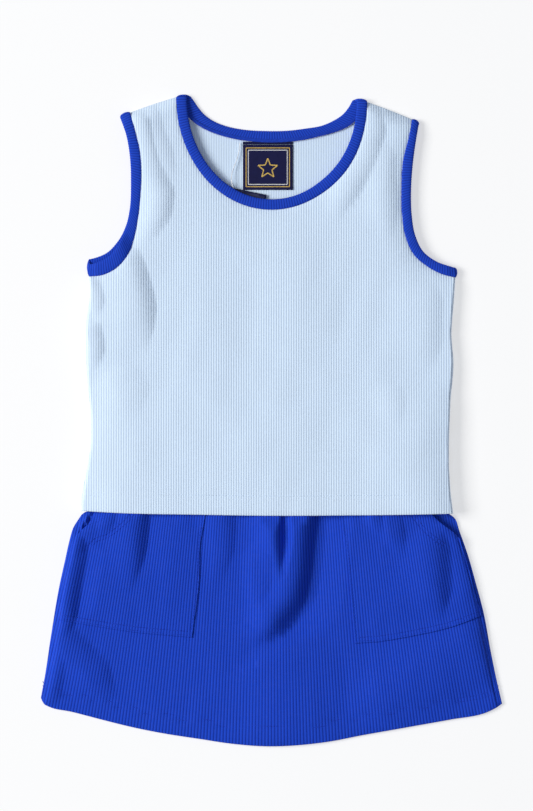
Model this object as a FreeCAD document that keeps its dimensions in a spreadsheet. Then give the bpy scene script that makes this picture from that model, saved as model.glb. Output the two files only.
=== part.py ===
"""A child's ribbed tank top and pull-on pocket skirt, laid flat, the skirt's waist inside the top's hem.

Millimetres. +Z up from the surface that the clothes lie on, +Y towards the neck, +X to the wearer's left
as the front is seen. The origin is on that surface, at the middle of the whole outline.
"""
import FreeCAD, Part

import math
import os
import Sketcher

# Driving dimensions. Levels along Y and Z are measured from the origin, halves from the centre line.
SIZES = {
    # cloth
    "cloth": 1.0,               # thickness of the rib knit
    "clearance": 0.3,           # air between the top and what moves in it
    "seam_width": 3.0,          # seam allowance inside each seam
    "seam_thickness": 0.8,
    "thread_width": 0.8,
    "thread_height": 0.25,
    "needle_gap": 3.2,          # between the two rows of a twin-needle seam
    # top, in plan
    "top_hem": -75.3,
    "top_waist_level": 0.0,
    "underarm_level": 115.0,
    "shoulder_tip_level": 246.0,
    "neck_level": 258.0,
    "top_hem_half": 148.0,
    "top_waist_half": 143.5,
    "chest_half": 146.5,
    "armhole_half": 108.5,
    "armhole_level": 147.0,
    "shoulder_half": 113.0,
    "neck_point_half": 77.0,
    "armhole_upper_radius": 190.0,
    "armhole_lower_radius": 36.3,
    "top_hem_depth": 12.8,
    # top, heights
    "front_bottom": 12.6,
    "front_top": 13.6,
    # neck and armhole bands
    "band": 8.5,
    "band_thickness": 2.6,
    "bridge": 6.0,              # how far the joint between a band's two layers reaches
    "bridge_inset": 2.0,
    "bridge_gap": 0.5,
    "underarm_rise": 1.5,
    "tip_slant": 1.5,
    "armhole_seam_start": 4.0,  # the seam edge stops short of the side seam and the shoulder
    "fold_thickness": 0.6,
    "front_neck_half": 76.5,
    "front_neck_drop": 89.5,
    "back_neck_half": 75.0,
    "back_neck_drop": 35.5,
    "neck_peak_half": 70.0,
    "neck_peak_level": 261.3,
    "arm_hole_half": 116.0,
    "arm_hole_level": 150.0,
    "arm_hole_tip_half": 120.5,
    "arm_hole_tip_level": 241.0,
    "arm_hole_base_level": 123.5,
    "arm_hole_upper_radius": 174.0,
    "arm_hole_lower_radius": 31.3,
    # woven label
    "label_left": -23.1,
    "label_right": 16.9,
    "label_top": 220.9,
    "label_bottom": 184.6,
    "label_level": 1.3,
    "label_thickness": 0.6,
    # card and its nylon fastener
    "card_width": 50.0,
    "card_length": 85.0,
    "card_thickness": 0.5,
    "card_level": 2.9,
    "card_hole_radius": 2.0,
    "card_hole_inset": 5.0,
    "card_tilt": 11.7,
    "card_corner_x": -4.0,
    "card_corner_y": 180.5,
    "nylon": 0.7,
    "paddle_length": 8.0,
    "paddle_width": 2.0,
    "paddle_level": 2.2,
    # skirt, in plan
    "waist_top": -38.0,
    "waist_half": 120.0,
    "waistband_depth": 24.0,
    "casing_bottom": -62.0,
    "tuck_level": -75.0,
    "tuck_half": 139.0,
    "hip_level": -77.5,
    "hip_half": 151.5,
    "pocket_level": -112.0,
    "pocket_half": 166.0,
    "thigh_level": -176.0,
    "thigh_half": 177.5,
    "corner_level": -224.0,
    "corner_half": 185.0,
    "hem_end_level": -229.3,
    "hem_end_half": 181.0,
    "skirt_hem_radius": 527.0,
    "skirt_hem_depth": 13.6,
    "beyond_hem": -300.0,
    # skirt, heights
    "tucked_bottom": 1.3,
    "front_low": 5.6,
    "front_low_top": 6.6,
    "front_high": 10.7,
    "front_high_top": 11.7,
    "slope_start": -78.0,
    "slope_end": -96.0,
    "casing_wall": 3.0,
    "elastic": 1.0,
    "elastic_depth": 22.0,
    # patch pockets
    "pocket_roof": 12.7,
    "pocket_top": -76.0,
    "pocket_inner_half": 57.0,
    "pocket_foot_half": 65.0,
    "pocket_foot_level": -175.5,
    "pocket_side_half": 172.0,
    "pocket_side_level": -159.0,
    "mouth_top_half": 130.0,
    "mouth_side_half": 161.0,
    "mouth_side_level": -98.0,
    "mouth_radius": 60.0,
    "pocket_wall": 2.0,
    "mouth_hem": 13.0,
}

os.makedirs("parts", exist_ok=True)
doc = FreeCAD.newDocument("uniform")
sheet = doc.addObject("Spreadsheet::Sheet", "Sizes")
for row, (alias, size) in enumerate(SIZES.items(), start=1):
    sheet.set(f"A{row}", alias.replace("_", " "))
    sheet.set(f"B{row}", str(size))
    sheet.setAlias(f"B{row}", alias)
doc.recompute()


def words(text):
    """The names, numbers and signs of a sum such as 'front_top - cloth'."""
    return text.replace("+", " + ").replace("-", " - ").split()


def amount(text):
    """The value of such a sum."""
    total, sign = 0.0, 1
    for word in words(text):
        if word in "+-":
            sign = 1 if word == "+" else -1
        else:
            total += sign * (SIZES[word] if word in SIZES else float(word))
            sign = 1
    return total


def formula(text, sign=1):
    """The same sum over the sheet's cells, times sign."""
    cells = " ".join(f"Sizes.{word}" if word in SIZES else word for word in words(text))
    return cells if sign > 0 else f"-({cells})"


def opposite(text):
    """The same sum with every sign turned round."""
    turned = {"+": "-", "-": "+"}
    found = words(text)
    if found[0] not in turned:
        found.insert(0, "+")
    return " ".join(turned.get(word, word) for word in found)


def spot(corner, side=1):
    return FreeCAD.Vector(side * amount(corner[0]), amount(corner[1]), 0)


# --- sketches -------------------------------------------------------------------------------------

def hold(sketch, edge, end, corner, side):
    """Bind one corner of an edge to the sheet."""
    for kind, text, sign, axis in (("DistanceX", corner[0], side, -2), ("DistanceY", corner[1], 1, -1)):
        distance = sign * amount(text)
        if abs(distance) < 1e-9:
            sketch.addConstraint(Sketcher.Constraint("PointOnObject", edge, end, axis))
            continue
        if distance > 0:
            rule = Sketcher.Constraint(kind, -1, 1, edge, end, distance)
        else:
            rule = Sketcher.Constraint(kind, edge, end, -1, 1, -distance)
        index = sketch.addConstraint(rule)
        sketch.setExpression(f"Constraints[{index}]", formula(text, sign if distance > 0 else -sign))


def arc_between(start, finish, radius, bulge):
    """The short arc from start to finish. With bulge +1 it bows to the left of that direction."""
    chord = finish - start
    left = FreeCAD.Vector(-chord.y, chord.x, 0).normalize()
    sagitta = radius - math.sqrt(radius**2 - (chord.Length / 2) ** 2)
    return Part.Arc(start, (start + finish) * 0.5 + left * bulge * sagitta, finish)


def draw(sketch, outline, side=1):
    """A closed outline. Each item is a corner (x, y), or a bend (radius, bulge, "arc") to the next corner."""
    corners = [item for item in outline if item[-1] != "arc"]
    bends = {}
    for index, item in enumerate(outline):
        if item[-1] == "arc":
            bends[corners.index(outline[index - 1])] = item
    ends = []
    for index, corner in enumerate(corners):
        start, finish = spot(corner, side), spot(corners[(index + 1) % len(corners)], side)
        if index in bends:
            radius, bulge, _ = bends[index]
            edge = sketch.addGeometry(arc_between(start, finish, amount(radius), bulge * side))
            rule = sketch.addConstraint(Sketcher.Constraint("Radius", edge, amount(radius)))
            sketch.setExpression(f"Constraints[{rule}]", formula(radius))
            first = 1 if (sketch.getPoint(edge, 1) - start).Length < 1e-6 else 2
        else:
            edge, first = sketch.addGeometry(Part.LineSegment(start, finish)), 1
        ends.append((edge, first, 3 - first))
    for index, corner in enumerate(corners):
        edge, first, _ = ends[index]
        before, _, last = ends[index - 1]
        sketch.addConstraint(Sketcher.Constraint("Coincident", before, last, edge, first))
        hold(sketch, edge, first, corner, side)


def draw_ellipse(sketch, half, drop):
    """An ellipse about the neck's middle, half wide to each side and drop deep."""
    centre = FreeCAD.Vector(0, amount("neck_level"), 0)
    wide, deep = FreeCAD.Vector(amount(half), 0, 0), FreeCAD.Vector(0, amount(drop), 0)
    upright = deep.Length > wide.Length
    major, minor = (deep, wide) if upright else (wide, deep)
    edge = sketch.addGeometry(Part.Ellipse(centre + major, centre + minor, centre))
    sketch.exposeInternalGeometry(edge)
    sketch.addConstraint(Sketcher.Constraint("PointOnObject", edge, 3, -2))
    long_way, short_way = (drop, half) if upright else (half, drop)
    rules = [
        (Sketcher.Constraint("DistanceY", -1, 1, edge, 3, centre.y), formula("neck_level")),
        (Sketcher.Constraint("Distance", edge + 1, 2 * major.Length), f"2 * ({formula(long_way)})"),
        (Sketcher.Constraint("Distance", edge + 2, 2 * minor.Length), f"2 * ({formula(short_way)})"),
    ]
    for rule, value in rules:
        index = sketch.addConstraint(rule)
        sketch.setExpression(f"Constraints[{index}]", value)
    sketch.addConstraint(Sketcher.Constraint("Vertical" if upright else "Horizontal", edge + 1))


def new_sketch(body, role="XY_Plane", offset="0"):
    sketch = body.newObject("Sketcher::SketchObject", f"{body.Name}_sketch")
    plane = next(feature for feature in body.Origin.OriginFeatures if feature.Role == role)
    sketch.AttachmentSupport = [(plane, "")]
    sketch.MapMode = "FlatFace"
    sketch.setExpression("AttachmentOffset.Base.z", formula(offset))
    return sketch


def new_body(label):
    body = doc.addObject("PartDesign::Body", label)
    body.Label = label
    return body


def pad(body, sketch, length, both_ways=False):
    feature = body.newObject("PartDesign::Pad", f"{body.Name}_pad")
    feature.Profile = sketch
    feature.setExpression("Length", length)
    feature.Midplane = both_ways
    sketch.Visibility = False
    doc.recompute()
    return feature


def pocket(body, sketch, length, both_ways=False, forward=True):
    """Cuts along the sketch's normal, or both ways, and makes sure that something was cut."""
    before = body.Shape.Volume
    feature = body.newObject("PartDesign::Pocket", f"{body.Name}_pocket")
    feature.Profile = sketch
    feature.setExpression("Length", length)
    feature.Midplane = both_ways
    feature.Reversed = forward and not both_ways
    doc.recompute()
    if not body.Shape.Volume < before - 0.01:
        raise RuntimeError(f"{body.Label}: the pocket cuts nothing")
    return feature


def layer(body, outline, bottom, top, side=1):
    """A flat layer of the plan outline between two heights."""
    sketch = new_sketch(body, offset=bottom)
    draw(sketch, outline, side)
    return pad(body, sketch, f"({formula(top)}) - ({formula(bottom)})")


def neck_cut(body, half, drop):
    sketch = new_sketch(body)
    draw_ellipse(sketch, half, drop)
    return pocket(body, sketch, "4 * Sizes.front_top", both_ways=True)


def cut_above(body, level):
    """Removes what lies above a level, all the way across the neck."""
    sketch = new_sketch(body)
    across, far = "neck_point_half + band", "neck_level + front_neck_drop + band"
    draw(sketch, [(opposite(across), level), (across, level), (across, far), (opposite(across), far)])
    return pocket(body, sketch, "4 * Sizes.front_top", both_ways=True)


def trimmed(body, profile, outline, side=1):
    """A side-view profile (y, z) carried across the width, then cut to the plan outline."""
    sketch = new_sketch(body, "YZ_Plane")
    draw(sketch, profile)
    pad(body, sketch, "2 * Sizes.corner_half + 20", both_ways=True)
    frame = new_sketch(body)
    reach, far = "corner_half + 20", "beyond_hem"
    draw(frame, [(opposite(reach), far), (reach, far), (reach, "waist_top"), (opposite(reach), "waist_top")])
    draw(frame, outline, side)
    return pocket(body, frame, "4 * Sizes.front_top", both_ways=True)


def mirrored_outline(half_outline):
    """A whole outline from its right half, whose two ends are joined straight to their mirror images."""
    left = []
    for item in reversed(half_outline):
        left.append(item if item[-1] == "arc" else (opposite(item[0]), item[1]))
    return half_outline + left


# --- the top --------------------------------------------------------------------------------------

TOP_RIGHT_EDGE = [
    ("top_hem_half", "top_hem"),
    ("top_waist_half", "top_waist_level"),
    ("chest_half", "underarm_level"),
    ("armhole_lower_radius", 1, "arc"),
    ("armhole_half", "armhole_level"),
    ("armhole_upper_radius", 1, "arc"),
    ("shoulder_half", "shoulder_tip_level"),
    ("neck_point_half", "neck_level"),
]

for label, bottom, top, half, drop in (
    ("top_front_panel", "front_bottom", "front_top", "front_neck_half", "front_neck_drop"),
    ("top_back_panel", "0", "cloth", "back_neck_half", "back_neck_drop"),
):
    panel = new_body(label)
    layer(panel, mirrored_outline(TOP_RIGHT_EDGE), bottom, top)
    neck_cut(panel, half, drop)


def band_arc(body, bottom, top, half, drop):
    """The lower half of an elliptical band whose outer edge is half wide and drop deep."""
    sketch = new_sketch(body, offset=bottom)
    draw_ellipse(sketch, half, drop)
    draw_ellipse(sketch, half + " - band", drop + " - band")
    pad(body, sketch, f"({formula(top)}) - ({formula(bottom)})")


def neck_binding():
    """Front and back half-rings, joined at the shoulders."""
    body = new_body("neck_binding")
    band_arc(body, "0", "band_thickness", "back_neck_half", "back_neck_drop")
    band_arc(body, "front_top + clearance - band_thickness", "front_top + clearance",
             "front_neck_half", "front_neck_drop")
    cut_above(body, "neck_level")
    for side in (1, -1):
        layer(body, [("front_neck_half - band - bridge_inset", "neck_level - band"),
                     ("front_neck_half - bridge_gap", "neck_level - band"),
                     ("front_neck_half - bridge_gap", "neck_level + bridge_gap"),
                     ("neck_peak_half", "neck_peak_level"),
                     ("front_neck_half - band - bridge_inset", "neck_level")],
              "cloth", "front_top + clearance", side)
    return body


def armhole_binding(label, side):
    """The band of one armhole: a strip on the back, a strip on the front, joined at both ends."""
    body = new_body(label)
    strip = [
        ("chest_half", "underarm_level"),
        ("armhole_lower_radius", 1, "arc"),
        ("armhole_half", "armhole_level"),
        ("armhole_upper_radius", 1, "arc"),
        ("shoulder_half", "shoulder_tip_level"),
        ("arm_hole_tip_half", "arm_hole_tip_level"),
        ("arm_hole_upper_radius", -1, "arc"),
        ("arm_hole_half", "arm_hole_level"),
        ("arm_hole_lower_radius", -1, "arc"),
        ("chest_half", "arm_hole_base_level"),
    ]
    layer(body, strip, "0", "band_thickness", side)
    layer(body, [("chest_half", "underarm_level"), ("chest_half", "arm_hole_base_level"),
                 ("chest_half - bridge", "arm_hole_base_level + underarm_rise"),
                 ("chest_half - bridge", "underarm_level + underarm_rise - 0.9")],
          "band_thickness", "front_top + clearance", side)
    layer(body, [("shoulder_half", "shoulder_tip_level"), ("arm_hole_tip_half", "arm_hole_tip_level"),
                 ("arm_hole_tip_half - tip_slant", "arm_hole_tip_level - bridge"),
                 ("shoulder_half - tip_slant + 0.3", "shoulder_tip_level - bridge")],
          "band_thickness", "front_top + clearance", side)
    layer(body, strip, "front_top + clearance - band_thickness", "front_top + clearance", side)
    return body


neck_binding()
for name, side in (("left", -1), ("right", 1)):
    armhole_binding(f"armhole_binding_{name}", side)
    side_seam = new_body(f"top_side_seam_{name}")
    layer(side_seam, [("top_hem_half", "top_hem"), ("top_waist_half", "top_waist_level"),
                      ("chest_half", "underarm_level"), ("chest_half - seam_width", "underarm_level + 0.2"),
                      ("top_waist_half - seam_width", "top_waist_level"),
                      ("top_hem_half - seam_width", "top_hem")],
          "cloth", "front_bottom", side)
    shoulder_seam = new_body(f"shoulder_seam_{name}")
    layer(shoulder_seam, [("neck_point_half", "neck_level"), ("shoulder_half - 3", "shoulder_tip_level + 1"),
                          ("shoulder_half - 4", "shoulder_tip_level + 1 - seam_width"),
                          ("neck_point_half", "neck_level - seam_width")],
          "cloth", "front_bottom", side)


def group(label, members):
    """Separate solids that share one node."""
    whole = doc.addObject("Part::Compound", label)
    whole.Label = label
    whole.Links = members
    return whole


def rows(label, outlines, bottom, top, side=1):
    """Several thread rows as one group of separate solids."""
    members = []
    for number, outline in enumerate(outlines, start=1):
        members.append(new_body(f"{label}_row_{number}"))
        layer(members[-1], outline, bottom, top, side)
    group(label, members)


def straight_row(half, level):
    upper = f"{level} + thread_width"
    return [(opposite(half), level), (half, level), (half, upper), (opposite(half), upper)]


rows("top_hem_stitching",
     [straight_row("top_waist_half", "top_hem + top_hem_depth"),
      straight_row("top_waist_half", "top_hem + top_hem_depth + needle_gap")],
     "front_top", "front_top + thread_height")


def half_ring(label, outer, inner, bottom, top):
    """The lower half of an elliptical ring about the neck, each ellipse given as (half, drop)."""
    body = new_body(label)
    sketch = new_sketch(body, offset=bottom)
    draw_ellipse(sketch, *outer)
    draw_ellipse(sketch, *inner)
    pad(body, sketch, f"({formula(top)}) - ({formula(bottom)})")
    cut_above(body, "neck_level - band - bridge_gap")
    return body


# The overlocked edge where the band joins: under the front panel, and folded up onto the band at the back.
group("neck_seam", [
    half_ring("neck_seam_front", ("front_neck_half + seam_width", "front_neck_drop + seam_width"),
              ("front_neck_half", "front_neck_drop"), "front_bottom - seam_thickness", "front_bottom"),
    half_ring("neck_seam_back", ("back_neck_half", "back_neck_drop"),
              ("back_neck_half - seam_width + 0.3", "back_neck_drop - seam_width + 0.3"),
              "band_thickness", "band_thickness + fold_thickness"),
])


def armhole_seam(label, side):
    """The overlocked edge beside an armhole band, inside the front panel and inside the back panel."""
    strip = [
        ("chest_half - armhole_seam_start", "underarm_level + 0.3 - seam_width"),
        ("armhole_lower_radius + seam_width", 1, "arc"),
        ("armhole_half - seam_width", "armhole_level"),
        ("armhole_upper_radius + seam_width", 1, "arc"),
        ("shoulder_half - seam_width - armhole_seam_start", "shoulder_tip_level - bridge"),
        ("shoulder_half - armhole_seam_start - 0.2", "shoulder_tip_level - bridge"),
        ("armhole_upper_radius", -1, "arc"),
        ("armhole_half - 0.2", "armhole_level"),
        ("armhole_lower_radius", -1, "arc"),
        ("chest_half - armhole_seam_start", "underarm_level - 0.2"),
    ]
    front, back = new_body(f"{label}_front"), new_body(f"{label}_back")
    layer(front, strip, "front_bottom - seam_thickness", "front_bottom", side)
    layer(back, strip, "cloth", "cloth + seam_thickness", side)
    group(label, [front, back])


armhole_seam("armhole_seam_left", -1)
armhole_seam("armhole_seam_right", 1)

# --- the woven label, the card and its fastener ----------------------------------------------------

label_body = new_body("neck_label")
layer(label_body, [("label_left", "label_bottom"), ("label_right", "label_bottom"),
                   ("label_right", "label_top"), ("label_left", "label_top")],
      "label_level", "label_level + label_thickness")
label_thread = new_body("label_stitching")
layer(label_thread, [("label_left + 1", "label_top + 0.4"), ("label_right - 1", "label_top + 0.4"),
                     ("label_right - 1", "label_top + 1.2"),
                     ("label_left + 1", "label_top + 1.2")],
      "cloth", "cloth + thread_height")


def swing_tag():
    """A card hung from its top edge. Its own origin is its top right corner."""
    body = new_body("swing_tag")
    layer(body, [("0", "0"), ("-card_width", "0"), ("-card_width", "-card_length"), ("0", "-card_length")],
          "card_level", "card_level + card_thickness")
    sketch = new_sketch(body)
    centre = FreeCAD.Vector(-SIZES["card_width"] / 2, -SIZES["card_hole_inset"], 0)
    hole = sketch.addGeometry(Part.Circle(centre, FreeCAD.Vector(0, 0, 1), SIZES["card_hole_radius"]))
    for rule, value in (
        (Sketcher.Constraint("DistanceX", hole, 3, -1, 1, -centre.x), "Sizes.card_width / 2"),
        (Sketcher.Constraint("DistanceY", hole, 3, -1, 1, -centre.y), "Sizes.card_hole_inset"),
        (Sketcher.Constraint("Radius", hole, SIZES["card_hole_radius"]), "Sizes.card_hole_radius"),
    ):
        index = sketch.addConstraint(rule)
        sketch.setExpression(f"Constraints[{index}]", value)
    pocket(body, sketch, "4 * Sizes.front_top", both_ways=True)
    body.Placement = FreeCAD.Placement(
        FreeCAD.Vector(SIZES["card_corner_x"], SIZES["card_corner_y"], 0),
        FreeCAD.Rotation(FreeCAD.Vector(0, 0, 1), -SIZES["card_tilt"]),
    )
    return body, body.Placement.multVec(centre)


tag, tag_hole = swing_tag()


def fastener_paddle():
    """A bar behind the card, and the stub that comes up through its hole to the filament."""
    bar = doc.addObject("Part::Box", "paddle_bar")
    bar.setExpression("Length", "Sizes.paddle_length")
    bar.setExpression("Width", "Sizes.paddle_width")
    bar.setExpression("Height", "Sizes.card_level - Sizes.paddle_level - 0.1")
    bar.Placement.Base = FreeCAD.Vector(tag_hole.x - SIZES["paddle_length"] / 2,
                                        tag_hole.y - SIZES["paddle_width"] / 2, SIZES["paddle_level"])
    stub = doc.addObject("Part::Cylinder", "paddle_stub")
    stub.setExpression("Radius", "Sizes.nylon / 2")
    stub.setExpression("Height", "Sizes.card_level + Sizes.card_thickness + 0.1 - Sizes.paddle_level")
    stub.Placement.Base = FreeCAD.Vector(tag_hole.x, tag_hole.y, SIZES["paddle_level"])
    whole = doc.addObject("Part::Fuse", "fastener_paddle")
    whole.Label = "fastener_paddle"
    whole.Base, whole.Tool = bar, stub
    return whole


fastener_paddle()

# The filament's route from the neck seam, over the label's corner and down into the card's hole.
FASTENER_ROUTE = [
    (-25.6, 222.4, 2.5), (-26.0, 215.5, 2.9), (-28.4, 207.6, 3.5), (-31.6, 199.6, 4.3), (-32.6, 192.4, 5.0),
    (-31.0, 186.6, 5.3), (-29.6, 182.9, 4.9),
]


def tube(label, points, diameter):
    """Straight runs joined by tangent arcs, each as large as its two runs allow."""
    points = [FreeCAD.Vector(*point) for point in points]
    edges, here, length = [], points[0], 0.0
    for before, corner, after in zip(points, points[1:], points[2:]):
        run_in, run_out = corner - before, after - corner
        turn = run_in.getAngle(run_out)
        back = 0.45 * min(run_in.Length, run_out.Length)
        radius = back / math.tan(turn / 2)
        print(f"{label}: turn {math.degrees(turn):.1f} degrees, radius {radius:.1f}")
        enter = corner - FreeCAD.Vector(run_in).normalize() * back
        leave = corner + FreeCAD.Vector(run_out).normalize() * back
        middle = corner + ((enter + leave) * 0.5 - corner).normalize() * radius * (1 / math.cos(turn / 2) - 1)
        edges += [Part.LineSegment(here, enter).toShape(), Part.Arc(enter, middle, leave).toShape()]
        here = leave
    edges.append(Part.LineSegment(here, points[-1]).toShape())
    path = Part.Wire(edges)
    ring = Part.Wire(Part.makeCircle(diameter / 2, points[0], points[1] - points[0]))
    solid = path.makePipeShell([ring], True, True)
    share = solid.Volume / (math.pi * diameter**2 / 4 * path.Length)
    print(f"{label}: length {path.Length:.1f}, volume over section times length {share:.4f}")
    feature = doc.addObject("Part::Feature", label)
    feature.Label = label
    feature.Shape = solid
    return feature


tube("tag_fastener",
     FASTENER_ROUTE + [(tag_hole.x, tag_hole.y + 0.3, SIZES["card_level"] + SIZES["card_thickness"] + 0.75)],
     SIZES["nylon"])

# --- the skirt ------------------------------------------------------------------------------------

SKIRT_RIGHT_EDGE = [
    ("hem_end_half", "hem_end_level"),
    ("corner_half", "corner_level"),
    ("thigh_half", "thigh_level"),
    ("pocket_half", "pocket_level"),
    ("hip_half", "hip_level"),
    ("tuck_half", "tuck_level"),
    ("waist_half", "casing_bottom"),
]
SKIRT_OUTLINE = mirrored_outline(SKIRT_RIGHT_EDGE) + [("skirt_hem_radius", -1, "arc")]

trimmed(new_body("skirt_front_panel"), [
    ("casing_bottom", "front_high"), ("casing_bottom", "front_high_top"), ("slope_start", "front_high_top"),
    ("slope_end", "front_low_top"), ("beyond_hem", "front_low_top"), ("beyond_hem", "front_low"),
    ("slope_end", "front_low"), ("slope_start", "front_high"),
], SKIRT_OUTLINE)
trimmed(new_body("skirt_back_panel"), [
    ("casing_bottom", "tucked_bottom"), ("casing_bottom", "tucked_bottom + cloth"),
    ("tuck_level - 1", "tucked_bottom + cloth"), ("hip_level - 1", "cloth"), ("beyond_hem", "cloth"),
    ("beyond_hem", "0"), ("hip_level", "0"), ("tuck_level - 0.8", "tucked_bottom"),
], SKIRT_OUTLINE)

for name, side in (("left", -1), ("right", 1)):
    trimmed(new_body(f"skirt_side_seam_{name}"), [
        ("casing_bottom", "tucked_bottom + cloth"), ("casing_bottom", "front_high"),
        ("slope_start", "front_high"), ("slope_end", "front_low"),
        ("corner_level", "front_low"), ("corner_level", "cloth"),
        ("hip_level - 1", "cloth"), ("tuck_level - 1", "tucked_bottom + cloth"),
    ], [
        ("corner_half", "corner_level"), ("thigh_half", "thigh_level"), ("pocket_half", "pocket_level"),
        ("hip_half", "hip_level"), ("tuck_half", "tuck_level"), ("waist_half", "casing_bottom"),
        ("waist_half - seam_width", "casing_bottom"), ("tuck_half - seam_width", "tuck_level - 1"),
        ("hip_half - seam_width", "hip_level - 2.5"), ("pocket_half - seam_width", "pocket_level"),
        ("thigh_half - seam_width", "thigh_level"), ("corner_half - seam_width", "corner_level"),
    ], side)


def hoop(sketch, inset, low, high):
    """A rectangle across the waist, seen along Y, between two heights."""
    half = f"waist_half {opposite(inset)}"
    draw(sketch, [(opposite(half), low), (half, low), (half, high), (opposite(half), high)])


def waistband():
    """The casing: a hoop of doubled cloth, open below where the elastic goes in."""
    body = new_body("waistband")
    outer = new_sketch(body, "XZ_Plane", "0 - waist_top")
    hoop(outer, "0", "tucked_bottom", "front_high_top")
    hoop(outer, "casing_wall", "tucked_bottom + casing_wall", "front_high_top - casing_wall")
    pad(body, outer, formula("waistband_depth"))
    slot = new_sketch(body, "XZ_Plane", "cloth - waist_top")
    hoop(slot, "cloth", "tucked_bottom + cloth", "front_high_top - cloth")
    hoop(slot, "cloth + elastic", "tucked_bottom + cloth + elastic", "front_high_top - cloth - elastic")
    pocket(body, slot, formula("waistband_depth"), forward=True)


def waist_elastic():
    body = new_body("waist_elastic")
    hoops = new_sketch(body, "XZ_Plane", "cloth + 0.5 - waist_top")
    hoop(hoops, "cloth", "tucked_bottom + cloth", "front_high_top - cloth")
    hoop(hoops, "cloth + elastic", "tucked_bottom + cloth + elastic", "front_high_top - cloth - elastic")
    pad(body, hoops, formula("elastic_depth"))


waistband()
waist_elastic()
rows("waistband_stitching", [straight_row("waist_half - 2", "casing_bottom + 2")],
     "front_high_top", "front_high_top + thread_height")


def hem_row(inset):
    """A thread row parallel to the skirt's curved hem, inset above it."""
    low, high = f"hem_end_level + {inset}", f"hem_end_level + {inset} + thread_width"
    return [
        ("hem_end_half - 2", low), ("hem_end_half - 2", high),
        ("skirt_hem_radius", 1, "arc"),
        ("-hem_end_half + 2", high), ("-hem_end_half + 2", low),
        ("skirt_hem_radius", -1, "arc"),
    ]


rows("skirt_hem_stitching", [hem_row("skirt_hem_depth"), hem_row("skirt_hem_depth + needle_gap")],
     "front_low_top", "front_low_top + thread_height")


def patch_pocket(label, side):
    """A patch with its mouth slanting from the waist to the side seam, closed on its other three sides."""
    body = new_body(label)
    patch = [
        ("pocket_inner_half", "pocket_top"), ("pocket_foot_half", "pocket_foot_level"),
        ("pocket_side_half", "pocket_side_level"), ("mouth_side_half", "mouth_side_level"),
        ("mouth_radius", 1, "arc"), ("mouth_top_half", "pocket_top"),
    ]
    layer(body, patch, "front_low_top", "pocket_roof", side)
    hollow = new_sketch(body, offset="front_low_top")
    draw(hollow, [
        ("pocket_inner_half + pocket_wall", "pocket_top + 2"),
        ("pocket_foot_half + pocket_wall", "pocket_foot_level + pocket_wall + 0.3"),
        ("pocket_side_half - pocket_wall", "pocket_side_level + pocket_wall"),
        ("mouth_side_half - pocket_wall", "mouth_side_level - 2"),
        ("mouth_side_half + 6", "mouth_side_level + 6"),
        ("mouth_side_half - 10", "pocket_top + 2"),
    ], side)
    pocket(body, hollow, formula("front_high_top - front_low_top"))
    slope = new_sketch(body, "YZ_Plane")
    draw(slope, [("pocket_top + 3", "front_low_top - 1"), ("pocket_top + 3", "front_high_top"),
                 ("slope_start", "front_high_top"), ("slope_end", "front_low_top"),
                 ("slope_end", "front_low_top - 1")])
    pocket(body, slope, "2 * Sizes.corner_half + 20", both_ways=True)


for name, side in (("left", -1), ("right", 1)):
    patch_pocket(f"pocket_{name}", side)
    rows(f"pocket_stitching_{name}", [
        [("pocket_inner_half + 1.2", "pocket_top"), ("pocket_foot_half + 1.2", "pocket_foot_level + 2.2"),
         ("pocket_foot_half + 1.2 + thread_width", "pocket_foot_level + 2.4"),
         ("pocket_inner_half + 1.2 + thread_width", "pocket_top")],
        [("pocket_foot_half + 3", "pocket_foot_level + 1.5"),
         ("pocket_side_half - 2", "pocket_side_level + 1.5"),
         ("pocket_side_half - 2", "pocket_side_level + 1.5 + thread_width"),
         ("pocket_foot_half + 3", "pocket_foot_level + 1.5 + thread_width")],
        [("mouth_top_half - mouth_hem", "pocket_top"), ("mouth_radius + mouth_hem", -1, "arc"),
         ("mouth_side_half - 1", "mouth_side_level - mouth_hem"),
         ("mouth_side_half - 1", "mouth_side_level - mouth_hem - thread_width"),
         ("mouth_radius + mouth_hem + thread_width", 1, "arc"),
         ("mouth_top_half - mouth_hem - thread_width", "pocket_top")],
    ], "pocket_roof", "pocket_roof + thread_height", side)

# --- checks and export ----------------------------------------------------------------------------

doc.recompute()
for item in doc.Objects:
    if "Invalid" in item.State or "Error" in item.State:
        raise RuntimeError(f"{item.Label}: {item.State}")
groups = [item for item in doc.Objects if item.TypeId == "Part::Compound"]
linked = {member.Name for item in groups for member in item.Links}
linked |= {"paddle_bar", "paddle_stub"}
kinds = ("PartDesign::Body", "Part::Compound", "Part::Fuse", "Part::Feature")
pieces = [item for item in doc.Objects if item.TypeId in kinds and item.Name not in linked]
for piece in pieces:
    if piece.Shape.isNull() or not piece.Shape.isValid() or not piece.Shape.Solids:
        raise RuntimeError(f"{piece.Label}: not a valid solid")
for piece in pieces:
    piece.Shape.exportStep(f"parts/{piece.Label}.step")
    box = piece.Shape.BoundBox
    print(f"{piece.Label}: {len(piece.Shape.Solids)} solid(s), {piece.Shape.Volume:.0f} mm3, "
          f"x {box.XMin:.1f}..{box.XMax:.1f}, y {box.YMin:.1f}..{box.YMax:.1f}, "
          f"z {box.ZMin:.2f}..{box.ZMax:.2f}")
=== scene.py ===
"""The looks of a child's ribbed top and pocket skirt, laid flat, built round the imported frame.

Plan shapes are in millimetres in the frame's own axes and become metres when a mesh is made.
"""

import math

import bmesh
import bpy
import numpy as np
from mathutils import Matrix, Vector
from mathutils.geometry import delaunay_2d_cdt


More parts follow.
